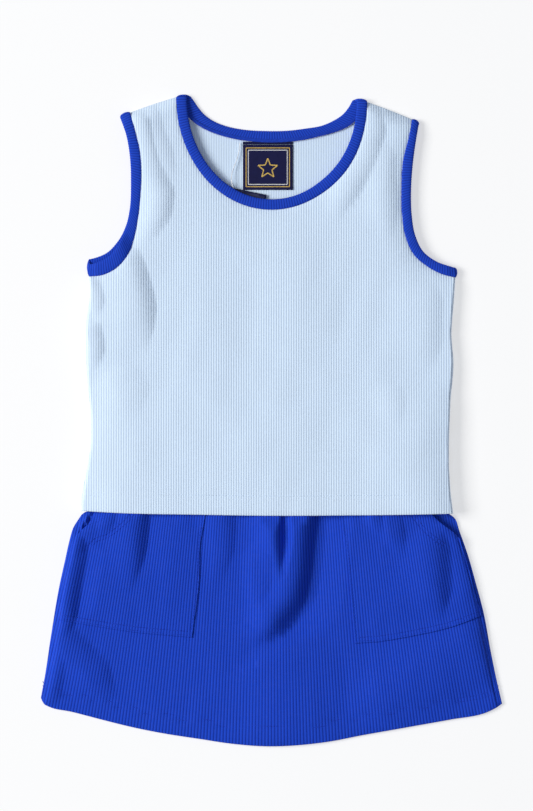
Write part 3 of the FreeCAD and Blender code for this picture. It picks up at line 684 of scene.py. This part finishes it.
class Finish:
    """A material being made: its nodes, and sums on their sockets."""

    def __init__(self, name, **values):
        self.material = bpy.data.materials.new(name)
        self.material.use_nodes = True
        self.tree = self.material.node_tree
        self.shader = self.tree.nodes["Principled BSDF"]
        for socket, value in values.items():
            self.shader.inputs[socket.replace("_", " ")].default_value = value

    def plug(self, value, socket):
        if isinstance(value, bpy.types.NodeSocket):
            self.tree.links.new(value, socket)
        else:
            socket.default_value = value

    def add(self, kind, given=None, **settings):
        """A node. given holds what goes into its inputs: values or other nodes' outputs."""
        node = self.tree.nodes.new(kind)
        for key, value in settings.items():
            setattr(node, key, value)
        for key, value in (given or {}).items():
            self.plug(value, node.inputs[key])
        return node

    def sum(self, operation, *values):
        return self.add("ShaderNodeMath", dict(enumerate(values)), operation=operation).outputs[0]

    def wave(self, turns):
        """A wave between 0 and 1 that comes round at every whole turn."""
        return self.sum("MULTIPLY_ADD", self.sum("SINE", self.times(turns, 2 * math.pi)), 0.5, 0.5)

    def times(self, first, second):
        return self.sum("MULTIPLY", first, second)

    def plus(self, first, second):
        return self.sum("ADD", first, second)

    def base(self, value):
        self.plug(value, self.shader.inputs["Base Color"])

    def rough(self, value):
        self.plug(value, self.shader.inputs["Roughness"])

    def scaled(self, *given):
        """A value moved from one range to another, with soft ends: value, low, high, to_low, to_high."""
        node = self.add("ShaderNodeMapRange", dict(enumerate(given)), interpolation_type="SMOOTHSTEP")
        return node.outputs[0]

    def mixed(self, part, first, second):
        return self.add("ShaderNodeMix", {0: part, 6: first, 7: second}, data_type="RGBA").outputs[2]

    def object_place(self):
        return self.add("ShaderNodeTexCoord").outputs["Object"]

    def cloth_place(self):
        """Across and along the ribs."""
        place = self.add("ShaderNodeUVMap", uv_map="cloth").outputs[0]
        return self.add("ShaderNodeSeparateXYZ", {0: place}).outputs[:2]

    def noise(self, scale, detail=2.0, roughness=0.5):
        given = {"Vector": self.object_place(), "Scale": scale, "Detail": detail, "Roughness": roughness}
        return self.add("ShaderNodeTexNoise", given).outputs[0]

    def bands(self, place, direction, scale, distortion):
        given = {"Vector": place, "Scale": scale, "Distortion": distortion}
        return self.add("ShaderNodeTexWave", given, wave_type="BANDS", bands_direction=direction).outputs[1]

    def bump(self, height, strength, distance):
        given = {"Height": height, "Strength": strength, "Distance": distance}
        self.plug(self.add("ShaderNodeBump", given).outputs[0], self.shader.inputs["Normal"])


def colour(red, green, blue):
    """Linear colour from 0-255 display values."""
    linear = [v / 255 / 12.92 if v <= 10 else ((v / 255 + 0.055) / 1.055) ** 2.4 for v in (red, green, blue)]
    return (*linear, 1)


def rib_knit(name, crown, groove, sheen):
    """Rib knit: broad wales of small loops with a narrow groove between them, the groove's darker colour
    being painted shade.
    """
    made = Finish(name, Roughness=0.85, Sheen_Weight=0.10, Sheen_Roughness=0.5, Sheen_Tint=sheen,
                  Specular_IOR_Level=0.14)
    across, along = made.cloth_place()
    from_groove = made.sum("ABSOLUTE", made.sum("SUBTRACT", across, made.sum("ROUND", across)))
    wale = made.scaled(from_groove, 0.03, 0.27)
    slant = made.plus(made.times(along, 2.7), made.times(from_groove, 1.7))
    loop = made.wave(slant)
    # light is 1 on the crowns, a little lower between the slanted loops and 0 in the grooves; the groove
    # colour it mixes in is painted shade in the grooves and between the loops.
    light = made.times(wale, made.sum("MULTIPLY_ADD", loop, 0.12, 0.88))
    knit = made.mixed(light, groove, crown)
    cloudy = made.scaled(made.noise(38.0, 3.0), 0.3, 0.7, 0.0, 0.10)
    knit = made.mixed(cloudy, knit, tuple(0.80 * part for part in crown[:3]) + (1,))
    fluff = made.scaled(made.noise(2600.0, 2.0, 0.7), 0.35, 0.75, 0.0, 0.07)
    knit = made.mixed(fluff, knit, sheen)
    made.base(knit)
    made.rough(made.scaled(made.noise(300.0), 0.3, 0.7, 0.74, 0.90))
    relief = made.plus(made.times(made.times(loop, wale), 0.5), made.times(made.noise(3200.0, 2.0), 0.5))
    made.bump(relief, 0.35, 0.00025)
    return made.material


def thread_finish(name, shade, dark):
    made = Finish(name, Roughness=0.75, Sheen_Weight=0.05, Specular_IOR_Level=0.12)
    twist = made.bands(made.object_place(), "DIAGONAL", 900.0, 0.6)
    uneven = made.scaled(made.noise(900.0, 2.0), 0.3, 0.7, 0.0, 0.5)
    made.base(made.mixed(uneven, shade, dark))
    made.bump(twist, 0.3, 0.0001)
    return made.material


def overlock_finish(name, cloth, thread):
    """A raw edge wrapped in slanting overlock thread."""
    made = Finish(name, Roughness=0.8, Sheen_Weight=0.08, Specular_IOR_Level=0.12)
    across, along = made.cloth_place()
    slant = made.plus(made.times(across, 1.6), made.times(along, 0.5))
    strand = made.scaled(made.wave(slant), 0.35, 0.75)
    uneven = made.scaled(made.noise(500.0, 2.0), 0.3, 0.7, 0.0, 0.3)
    made.base(made.mixed(uneven, made.mixed(strand, cloth, thread), cloth))
    made.bump(strand, 0.5, 0.0002)
    return made.material


def woven_finish(name, shade, dark, weave=1500.0):
    made = Finish(name, Roughness=0.7, Sheen_Weight=0.04, Specular_IOR_Level=0.18)
    place = made.object_place()
    cross = made.times(*[made.bands(place, direction, weave, 0.3) for direction in ("X", "Y")])
    uneven = made.times(made.noise(250.0, 3.0), 0.35)
    made.base(made.mixed(made.plus(made.times(cross, 0.6), uneven), dark, shade))
    made.bump(cross, 0.4, 0.00015)
    return made.material


# Each knit's second colour is its groove colour: the crown colour darkened as painted shade in the rib
# grooves.
PALE_CROWN, PALE_GROOVE_SHADE, PALE_SHEEN = colour(222, 239, 255), colour(191, 212, 240), colour(236, 246, 255)
ROYAL_CROWN, ROYAL_GROOVE_SHADE, ROYAL_SHEEN = colour(29, 73, 205), colour(17, 45, 152), colour(40, 90, 222)
pale_knit = rib_knit("pale_rib_knit", PALE_CROWN, PALE_GROOVE_SHADE, PALE_SHEEN)
royal_knit = rib_knit("royal_rib_knit", ROYAL_CROWN, ROYAL_GROOVE_SHADE, ROYAL_SHEEN)
band_knit = rib_knit("royal_band_knit", colour(30, 71, 196), colour(15, 42, 146), ROYAL_SHEEN)
pale_reverse = rib_knit("pale_rib_reverse", colour(216, 234, 251), colour(198, 218, 243), PALE_SHEEN)
pale_thread = thread_finish("pale_sewing_thread", colour(226, 240, 255), colour(176, 202, 232))
blue_thread = thread_finish("blue_sewing_thread", colour(26, 66, 196), colour(12, 38, 140))
navy_thread = thread_finish("navy_sewing_thread", colour(30, 34, 78), colour(16, 18, 48))
gold_thread = thread_finish("gold_sewing_thread", colour(232, 200, 112), colour(186, 150, 66))
white_thread = thread_finish("white_sewing_thread", colour(236, 236, 236), colour(196, 198, 206))
pale_overlock = overlock_finish("pale_overlock", colour(176, 200, 230), colour(226, 240, 255))
royal_overlock = overlock_finish("royal_overlock", colour(16, 42, 146), colour(36, 82, 212))
label_weave = woven_finish("navy_label_weave", colour(24, 27, 88), colour(10, 12, 50))
elastic_weave = woven_finish("white_elastic_weave", colour(238, 238, 234), colour(180, 180, 176), 700.0)


def card_finish():
    made = Finish("navy_card", Roughness=0.5, Specular_IOR_Level=0.4)
    grain = made.scaled(made.noise(1800.0, 3.0), 0.3, 0.7)
    made.base(made.mixed(grain, colour(20, 24, 62), colour(30, 35, 80)))
    made.bump(grain, 0.15, 0.0001)
    return made.material


def nylon_finish():
    made = Finish("clear_nylon", Roughness=0.2, Transmission_Weight=0.1, IOR=1.5, Specular_IOR_Level=0.5)
    haze = made.scaled(made.noise(700.0, 2.0), 0.3, 0.7)
    made.base(made.mixed(haze, colour(250, 252, 255), colour(238, 244, 252)))
    made.rough(made.scaled(haze, 0.0, 1.0, 0.14, 0.30))
    return made.material


navy_card, clear_nylon = card_finish(), nylon_finish()

# --- the top ---

TOP_PITCH, SKIRT_PITCH, BAND_PITCH = 2.0, 2.0, 2.08
TOP_RELIEF, BACK_RELIEF, BAND_RELIEF, SKIRT_RELIEF = 0.30, 0.16, 0.22, 0.34
BAND_GAUGE, BAND_PLACES, TURN_STEPS = 2.8, 120, 9


def top_outline(neck):
    return joined(TOP_HEM, TOP_RIGHT_SIDE, RIGHT_ARM_BODY, RIGHT_SHOULDER, neck_arc(*neck), LEFT_SHOULDER,
                  LEFT_ARM_BODY, TOP_LEFT_SIDE)


tank_front = panel("tank_front", top_outline(FRONT_NECK), TOP_PITCH, TOP_RELIEF, top_front, top_thickness,
                   pale_knit, "top", ["top_front_panel"], "pale_rib")
tank_back = panel("tank_back", top_outline(BACK_NECK), TOP_PITCH, BACK_RELIEF, top_back, top_back,
                  pale_reverse, "top", ["top_back_panel"], "pale_rib")


def lifted(line, height):
    """A plan line as 3-D places, height being a number or a function of x and y."""
    level = height(line[:, 0], line[:, 1]) if callable(height) else np.full(len(line), float(height))
    return np.column_stack([line, level])


def turned_over(front_end, back_start, way):
    """The edges where a band turns over from its front layer to its back one, bulging towards way."""
    way = np.array([*way, 0.0]) / np.linalg.norm(way)
    radius = (front_end[0][2] - back_start[0][2]) / 2
    lines = []
    middle_above, middle_below = sum(front_end) / 2, sum(back_start) / 2
    for above, below in zip(front_end, back_start):
        line = []
        for turn in np.linspace(0, math.pi, TURN_STEPS + 2)[1:-1]:
            part = (1 - math.cos(turn)) / 2
            slim = 0.34 * math.sin(turn) ** 2
            high = above * (1 - slim) + middle_above * slim
            low = below * (1 - slim) + middle_below * slim
            line.append(high * (1 - part) + low * part + 0.55 * way * radius * math.sin(turn))
        lines.append(np.array(line))
    return lines


def ring_band(name, front, back, ways, node):
    """A band round a hole. front and back are (hole edge, body edge) as 3-D lines, running opposite ways."""
    over = turned_over([edge[-1] for edge in front], [edge[0] for edge in back], ways[0])
    under = turned_over([edge[0] for edge in front], [edge[-1] for edge in back], ways[1])
    edges = [np.concatenate([front[k], over[k], back[k], under[k][::-1]]) for k in (0, 1)]
    closed_lines = [np.concatenate([edge, edge[:1]]) for edge in edges]
    travelled = distances((closed_lines[0] + closed_lines[1]) / 2)
    stations = round(travelled[-1] / BAND_PITCH) * STATIONS_PER_RIB
    wanted = np.arange(stations) * travelled[-1] / stations
    even = [at(line, travelled, wanted) for line in closed_lines]
    sweep(name, *even, BAND_GAUGE, BAND_PITCH, BAND_RELIEF, band_knit, "top", [node], "royal_rib",
          closed=True, scallop=BAND_RELIEF, square=2.5)


BAND_LOW = 1.35      # the back layer of a band
BAND_LEAST = 4.1     # the lowest its front layer comes


def band_front(x, y):
    return np.maximum(top_front(x, y) - 0.15, BAND_LEAST)


def front_pair(hole, body):
    """Edges of a front band strip, both at the height of the panel beside it."""
    hole, body = spread(hole, BAND_PLACES), spread(body, BAND_PLACES)
    level = band_front(body[:, 0], body[:, 1])
    level = np.convolve(np.pad(level, 4, mode="edge"), np.ones(9) / 9, mode="valid")
    return np.column_stack([hole, level]), np.column_stack([body, level])


def back_pair(hole, body):
    return [lifted(spread(line, BAND_PLACES), BAND_LOW) for line in (hole, body)]


ring_band("neck_band", front_pair(wider(FRONT_NECK, -BAND), neck_arc(*FRONT_NECK)),
          back_pair(through(BACK_NECK_HOLE, 2.0), neck_arc(*BACK_NECK)[::-1]), ((0, 1), (0.1, 1)),
          "neck_binding")


def armhole_ring(name, side, hole, body, peek):
    """hole and body run from the shoulder tip to the underarm, side is -1 on the left, and peek is how far
    the back layer shows at the underarm."""
    hole, body = through(hole, 2.0), through(body, 2.0)
    back_hole, back_body = hole.copy(), body.copy()
    for line in (back_hole, back_body):
        line[:, 1] += peek * ramp(-line[:, 1], -165, -132) * ramp(side * line[:, 0], -200, 200)
        line[:, 0] += side * 0.4
    ring_band(f"armhole_band_{name}", front_pair(hole, body), back_pair(back_hole[::-1], back_body[::-1]),
              ((side * 0.6, 1), (side, 0.35)), f"armhole_binding_{name}")


armhole_ring("left", -1, LEFT_ARM_HOLE, LEFT_ARM_BODY, 4.6)
armhole_ring("right", 1, RIGHT_ARM_HOLE[::-1], RIGHT_ARM_BODY[::-1], 0.0)


def along_hem(hem, rise, reach=0.0):
    """A line parallel to a hem, rise above it, stopping short of both ends."""
    line = through(hem, 3.0)
    line = line[(line[:, 0] > line[0, 0] + reach) & (line[:, 0] < line[-1, 0] - reach)]
    return line + np.array([0, rise])


stitches("tank_hem_thread", [along_hem(TOP_HEM, rise, 3.0) for rise in HEM_ROWS], top_front, pale_thread,
         "top", ["top_hem_stitching"], "pale_thread", lift=-0.02)

SEAM_GAUGE, SEAM_PITCH, SEAM_SIDES = 0.8, 1.6, 10


def seam_strip(name, lines, material, body, node, slot):
    """Overlocked seam edges as one object. lines are pairs of 3-D edge lines."""
    made = []
    for number, pair in enumerate(lines):
        edges = [spread(edge, max(len(pair[0]), 24)) for edge in pair]
        made.append(sweep(f"{name}_{number + 1}" if number else name, *edges, SEAM_GAUGE, SEAM_PITCH, 0.1,
                          material, body, () if number else [node], slot, sides=SEAM_SIDES))
    if len(made) > 1:
        with bpy.context.temp_override(active_object=made[0], selected_editable_objects=made, object=made[0]):
            bpy.ops.object.join()


def shortened(line, by):
    """A line without by millimetres at each end."""
    line = spread(np.array(line, float), 200)
    travelled = distances(line)
    return line[(travelled > by) & (travelled < travelled[-1] - by)]


def headings(line):
    """A line's direction at each of its places."""
    way = np.gradient(line, axis=0)
    return way / np.linalg.norm(way, axis=1)[:, None]


def inset(line, by, height):
    """A line moved by millimetres to its left, as 3-D places at a height."""
    line = through(line, 4.0)
    way = headings(line)
    return lifted(line + by * np.stack([-way[:, 1], way[:, 0]], axis=1), height)


def seam_pair(line, reach, *levels):
    """A seam strip's two edges, at two distances inside an outline's line."""
    return [inset(line, by, level) for by, level in zip(reach, levels)]


SIDE_SEAM_LEVEL = BACK_TOP + 0.75
SIDE_SEAM, SHOULDER_SEAM, ARM_SEAM, SKIRT_SEAM = (1.6, 5.6), (1.6, 4.8), (0.4, 3.2), (1.4, 4.8)
for name, side_line in (("left", TOP_LEFT_SIDE), ("right", TOP_RIGHT_SIDE)):
    seam_strip(f"tank_side_seam_{name}",
               [seam_pair(side_line, SIDE_SEAM, SIDE_SEAM_LEVEL, SIDE_SEAM_LEVEL + 0.3)],
               pale_overlock, "top", f"top_side_seam_{name}", "pale_rib")
for name, shoulder in (("left", LEFT_SHOULDER), ("right", RIGHT_SHOULDER)):
    seam_strip(f"tank_shoulder_seam_{name}",
               [seam_pair(shortened(shoulder, 4), SHOULDER_SEAM, SIDE_SEAM_LEVEL, SIDE_SEAM_LEVEL + 0.2)],
               pale_overlock, "top", f"shoulder_seam_{name}", "pale_rib")


def under_front(x, y):
    return top_front(x, y) - CLOTH - 0.6


seam_strip("neck_seam_edge", [
    [lifted(wider(BACK_NECK, -2.9), 3.05), lifted(neck_arc(*BACK_NECK), 2.75)],
    [lifted(shortened(wider(FRONT_NECK, by), 7), under_front) for by in (0.4, 3.4)],
], royal_overlock, "top", "neck_seam", "royal_rib")
for name, body_line in (("left", LEFT_ARM_BODY), ("right", RIGHT_ARM_BODY)):
    seam_strip(f"armhole_seam_edge_{name}",
               [seam_pair(shortened(body_line, 7), ARM_SEAM, level, level)
                for level in (under_front, SIDE_SEAM_LEVEL)],
               royal_overlock, "top", f"armhole_seam_{name}", "royal_rib")

# --- the label, card and fastener ---

label_low, label_high = node_box("neck_label")
HOLE_PARTS, LABEL_GAUGE, SEWN_GAUGE, CARD_GAUGE = 32, 0.55, 0.5, 0.5


def label_height(x, y):
    """The label's upper face, its lower edge curling up a little."""
    hang = np.clip((label_high[1] - y) / (label_high[1] - label_low[1]), 0, 1)
    return label_high[2] + 0.4 * hang**2 + 0.12 * np.sin(x / 7.0 + 0.6) * hang


def plate(name, outline, height, gauge, spacing, *look, hole=None):
    """A thin closed plate over an outline, with an optional round hole (x, y, radius)."""
    ring = np.array(outline, float)
    edge, holes = [], []
    for start, finish in zip(ring, np.roll(ring, -1, axis=0)):
        parts = max(1, int(round(np.linalg.norm(finish - start) / spacing)))
        edge += [start + (finish - start) * part / parts for part in range(parts)]
    count = len(edge)
    links = round_links(count)
    if hole:
        turns = np.linspace(0, 2 * math.pi, HOLE_PARTS, endpoint=False)
        holes = [(hole[0] + hole[2] * math.cos(turn), hole[1] - hole[2] * math.sin(turn)) for turn in turns]
        links += round_links(HOLE_PARTS, count)
    low, high = ring.min(axis=0), ring.max(axis=0)
    grid = []
    for x in np.arange(low[0] + spacing * 0.37, high[0], spacing):
        for y in np.arange(low[1] + spacing * 0.41, high[1], spacing):
            signed = beside(np.array([x]), np.array([y]), np.vstack([ring, ring[:1]]))[0][0]
            in_hole = hole and math.hypot(x - hole[0], y - hole[1]) < hole[2] + spacing * 0.4
            if signed > spacing * 0.35 and not in_hole:
                grid.append((x, y))
    spots = [Vector(place) for place in [*map(tuple, edge), *holes, *grid]]
    placed, _, triangles, *_ = delaunay_2d_cdt(spots, links, [], 1, 1e-6)
    flat = np.array(placed)
    triangles = np.array(triangles)
    if hole:
        middle = flat[triangles].mean(axis=1)
        triangles = triangles[np.hypot(middle[:, 0] - hole[0], middle[:, 1] - hole[1]) > hole[2] * 0.97]
    top = height(flat[:, 0], flat[:, 1])
    upper, under = np.column_stack([flat, top]), np.column_stack([flat, top - gauge])
    return closed_sheet(name, upper, under, facing_up(flat, triangles), flat / 10, *look)


def rectangle(low, high, by=0.0):
    """A rectangle's corners, by millimetres inside low and high."""
    left, bottom, right, top = low[0] + by, low[1] + by, high[0] - by, high[1] - by
    return [(left, bottom), (right, bottom), (right, top), (left, top)]


label = plate("woven_label", rectangle(label_low, label_high), label_height, LABEL_GAUGE, 1.2, label_weave,
              "neck_label", ["neck_label"], "navy_weave")


def closed_line(points):
    return [*points, points[0]]


def embroidery(name, lines, thread, length):
    """Close satin stitches on the label."""
    stitches(name, lines, label_height, thread, "neck_label", (), "navy_weave", pitch=0.42, length=length,
             width=0.42, across=True, lift=0.0)


label_middle = ((label_low + label_high) / 2)[:2]
STAR_TIP, STAR_NOTCH = 8.2, 3.5      # from the star's middle
star = []
for point in range(10):
    turn, reach = math.pi / 2 + point * math.pi / 5, STAR_NOTCH if point % 2 else STAR_TIP
    star.append((label_middle[0] + reach * math.cos(turn), label_middle[1] - 1 + reach * math.sin(turn)))
embroidery("label_gold_star", [closed_line(star)], gold_thread, 1.2)
for name, by, thread in (("gold", 2.6, gold_thread), ("white", 4.4, white_thread)):
    embroidery(f"label_{name}_border", [closed_line(rectangle(label_low, label_high, by))], thread, 0.9)
SEWN_EDGE = (label_low[0], label_high[1] + 0.2), (label_high[0], label_high[1] + 2.4)


def sewn_height(x, y):
    """The sewn edge dips beside the fold, which leaves the label room to turn over."""
    return label_high[2] - 0.1 - 0.42 * (1 - ramp(y, label_high[1] + 0.25, label_high[1] + 0.8))


plate("label_sewn_edge", rectangle(*SEWN_EDGE), sewn_height, SEWN_GAUGE, 0.6, label_weave, "top", (),
      "navy_weave")

thread_low, thread_high = node_box("label_stitching")
label_thread_level = (thread_low[1] + thread_high[1]) / 2
stitches("label_thread", [[(thread_low[0], label_thread_level), (thread_high[0], label_thread_level)]],
         level_at(thread_high[2] + 0.2), navy_thread, "top", ["label_stitching"], "navy_thread")

card_low, card_high = node_box("swing_tag")
CARD_WIDTH, CARD_LENGTH, CARD_CORNER, CARD_TILT = 50.0, 85.0, 0.8, math.radians(11.7)


def card_outline():
    """The card's outline with rounded corners, turned about its top right corner."""
    radius = CARD_CORNER
    right, left, top, bottom = -radius, -CARD_WIDTH + radius, -radius, -CARD_LENGTH + radius
    rounded = []
    for cx, cy, start in ((right, top, 0), (left, top, 90), (left, bottom, 180), (right, bottom, 270)):
        for step in range(6):
            turn = math.radians(start + 18 * step)
            rounded.append((cx + radius * math.cos(turn), cy + radius * math.sin(turn)))
    cosine, sine = math.cos(-CARD_TILT), math.sin(-CARD_TILT)
    corner = np.array([card_high[0], card_low[1] + CARD_LENGTH * cosine])
    return [(corner[0] + x * cosine - y * sine, corner[1] + x * sine + y * cosine) for x, y in rounded]


CARD_HOLE = (-29.49, 180.67, 2.0)
plate("swing_tag_card", card_outline(), level_at(card_high[2]), CARD_GAUGE, 2.5, navy_card, "swing_tag",
      ["swing_tag"], "navy_card", hole=CARD_HOLE)
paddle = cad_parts["fastener_paddle"]
paddle.data.materials.clear()
paddle.data.materials.append(clear_nylon)
filament_curve.materials.append(clear_nylon)
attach(filament, "swing_tag")
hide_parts("tag_fastener")

# --- the skirt ---

SKIRT_TOP = -60.0


def skirt_lean(y):
    """The ribs fan out from the gathered waist to the hem."""
    return 1 + 0.30 * (SKIRT_TOP - np.asarray(y, float)) / 200.0


skirt_outline = joined(SKIRT_LEFT_SIDE, SKIRT_HEM, SKIRT_RIGHT_SIDE, [(120, -60), (0, -60), (-120, -60)])
skirt_face, skirt_rear = [
    panel(f"skirt_{side}", skirt_outline, SKIRT_PITCH, SKIRT_RELIEF, height, one_cloth, royal_knit, "skirt",
          [f"skirt_{side}_panel"], "royal_rib", lean=skirt_lean)
    for side, height in (("front", skirt_front), ("back", skirt_back))
]

LEFT_POCKET = {
    "inner": [(-51.5, -61), (-53.4, -76.5), (-56.6, -95), (-58.7, -133), (-63.8, -173.8)],
    "foot": [(-63.8, -173.8), (-112.6, -169.3), (-140.6, -165), (-160.6, -161.5), (-171.0, -159.4)],
    "side": [(-171.0, -159.4), (-166.4, -130), (-162.6, -112), (-159.6, -96.4)],
    "mouth": [(-159.6, -96.4), (-157.0, -93.0), (-152.7, -88.5), (-149.5, -85.2), (-144.8, -82.6),
              (-138.5, -81.0), (-132, -76.5), (-124, -69), (-118, -61)],
}
RIGHT_POCKET = {
    "inner": [(54, -61), (55.7, -76.5), (61.5, -122), (64.2, -148), (66.4, -178.5)],
    "foot": [(66.4, -178.5), (84, -177.3), (113, -172.5), (141.5, -166), (168.0, -156.6)],
    "side": [(168.0, -156.6), (163.4, -140), (158.6, -122), (154.0, -106), (150.4, -94.4)],
    "mouth": [(150.4, -94.4), (145.6, -89.6), (139, -84.8), (130.6, -77.7), (126, -72), (118, -61)],
}


def pocket_height(lines):
    mouth, inner, foot = lines["mouth"], lines["inner"], lines["foot"]

    def height(x, y):
        """Just off the skirt, fuller in the middle, and lifted along the mouth."""
        shown = 1 - ramp(y, -84, -75)
        sewn = np.minimum(away(x, y, inner), away(x, y, foot))
        open_edge = away(x, y, mouth)
        lift = 1.15 + 0.9 * ramp(sewn, 0, 30) * shown + 1.6 * bell(open_edge, 8) * shown
        lift = lift - 0.22 * bell(sewn - 1.6, 0.8) - 0.25 * bell(open_edge - 13, 0.9)
        return skirt_front(x, y, []) + lift

    return height


FOOT_ROWS, MOUTH_ROWS = (1.6, 4.6), (11.8, 14.6)     # stitch rows inside a pocket's foot and mouth


def patch_pocket(name, lines, side):
    """A pocket and its thread. side is -1 on the left."""
    outline = joined(lines["inner"], lines["foot"], lines["side"], lines["mouth"],
                     [lines["mouth"][-1], lines["inner"][0]])
    height = pocket_height(lines)
    body = panel(f"pocket_patch_{name}", outline, SKIRT_PITCH, SKIRT_RELIEF, height, one_cloth, royal_knit,
                 "skirt", [f"pocket_{name}"], "royal_rib", lean=skirt_lean, row=4.0)
    foot, mouth = through(lines["foot"])[1:-1], through(lines["mouth"])
    way = headings(mouth)
    into = np.stack([way[:, 1], -way[:, 0]], axis=1) * -side
    rows = [through(lines["inner"]) + np.array([side * 1.6, 0])]
    rows += [foot + np.array([0, rise]) for rise in FOOT_ROWS]
    rows += [(mouth + into * reach)[2:-1] for reach in MOUTH_ROWS]
    stitches(f"pocket_thread_{name}", rows, height, blue_thread, "skirt", [f"pocket_stitching_{name}"],
             "blue_thread", lift=0.0)
    return body


pocket_left = patch_pocket("left", LEFT_POCKET, -1)
pocket_right = patch_pocket("right", RIGHT_POCKET, 1)
stitches("skirt_hem_thread", [along_hem(SKIRT_HEM, rise) for rise in SKIRT_ROWS], skirt_front, blue_thread,
         "skirt", ["skirt_hem_stitching"], "blue_thread", lift=0.0)

for name, side_line in (("left", SKIRT_LEFT_SIDE[4:]), ("right", SKIRT_RIGHT_SIDE[:-4])):
    seam_strip(f"skirt_seam_edge_{name}",
               [seam_pair(side_line, SKIRT_SEAM, SIDE_SEAM_LEVEL, SIDE_SEAM_LEVEL + 0.2)],
               royal_overlock, "skirt", f"skirt_side_seam_{name}", "royal_rib")

band_low, band_high = node_box("waistband")


WAIST_INSET, RUFFLE = 1.6, 0.35      # from the waistband's box, and how far the hoop waves


def waist_ring(name, top, bottom, gauge, pitch, material, node, slot):
    """A hoop round the waist, as an upright flat loop seen along Y."""
    half, low, high = band_high[0] - WAIST_INSET, band_low[2] + WAIST_INSET, band_high[2] - WAIST_INSET
    radius = (high - low) / 2
    straight = half - radius
    flat, bend = np.linspace(straight, -straight, 160), np.linspace(0, math.pi, 14)[1:-1]
    places = [(x, high) for x in flat]
    places += [(-straight - radius * math.sin(t), low + radius + radius * math.cos(t)) for t in bend]
    places += [(x, low) for x in -flat]
    places += [(straight + radius * math.sin(t), low + radius - radius * math.cos(t)) for t in bend]
    loop = np.array([*places, places[0]])
    count = STATIONS_PER_RIB * round(distances(loop)[-1] / pitch)
    even = spread(loop, count + 1)[:-1]
    edges = [np.column_stack([even[:, 0], np.full(count, level), even[:, 1]]) for level in (top, bottom)]
    travelled = np.arange(count) * pitch / STATIONS_PER_RIB
    ruffle = RUFFLE * (np.sin(travelled / 1.15) * 0.6 + np.sin(travelled / 2.05 + 1.0) * 0.4)
    sweep(name, *edges, gauge, pitch, 0.18, material, "skirt", [node], slot, closed=True, square=5.0,
          ruffle=ruffle)


waist_ring("waist_casing", band_high[1], band_low[1], 2.3, 2.0, royal_knit, "waistband", "royal_rib")
waist_ring("waist_elastic_band", band_high[1] - 2, band_low[1] + 2, 0.9, 2.4, elastic_weave,
           "waist_elastic", "elastic")
row_low, row_high = node_box("waistband_stitching")
row_level = (row_low[1] + row_high[1]) / 2
stitches("waistband_thread", [[(row_low[0] + 4, row_level), (row_high[0] - 4, row_level)]],
         level_at(band_high[2] - 0.25), blue_thread, "skirt", ["waistband_stitching"], "blue_thread")

# --- floor and light ---

REACH, FLOOR_GAP = 4.0, 0.0004
FLOOR_GREY, FLOOR_GLOW = (0.45, 0.45, 0.45, 1), 0.555
SKY_TINT, SKY_STRENGTH = (0.80, 0.92, 1.16, 1), 0.16
floor_mesh = bpy.data.meshes.new("floor")
floor_mesh.from_pydata([(-REACH, -REACH, 0), (REACH, -REACH, 0), (REACH, REACH, 0), (-REACH, REACH, 0)], [],
                       [(0, 1, 2, 3)])
floor = bpy.data.objects.new("floor", floor_mesh)
floor.location.z = cad_low[2] - FLOOR_GAP
scene.collection.objects.link(floor)
floor_finish = Finish("floor", Roughness=0.9, Specular_IOR_Level=0.1, Base_Color=FLOOR_GREY,
                      Emission_Color=(1, 1, 1, 1), Emission_Strength=FLOOR_GLOW)
floor_mesh.materials.append(floor_finish.material)

world = bpy.data.worlds.new("studio")
world.use_nodes = True
background = world.node_tree.nodes["Background"]
background.inputs["Color"].default_value = SKY_TINT
background.inputs["Strength"].default_value = SKY_STRENGTH
scene.world = world


def softbox(name, place, size, energy, tint=(1, 1, 1)):
    """A square light that faces the middle of the clothes."""
    data = bpy.data.lights.new(name, "AREA")
    data.shape, data.size, data.energy, data.color = "SQUARE", size, energy, tint
    light = bpy.data.objects.new(name, data)
    light.location = place
    light.rotation_mode = "QUATERNION"
    light.rotation_quaternion = (-Vector(place)).to_track_quat("-Z", "Y")
    scene.collection.objects.link(light)


softbox("key", (-5.6, 0.6, 4.9), 3.4, 560.0, (1.0, 0.99, 0.965))
softbox("overhead", (0.0, 0.0, 1.35), 0.6, 2.9)
scene.view_settings.view_transform = "Standard"
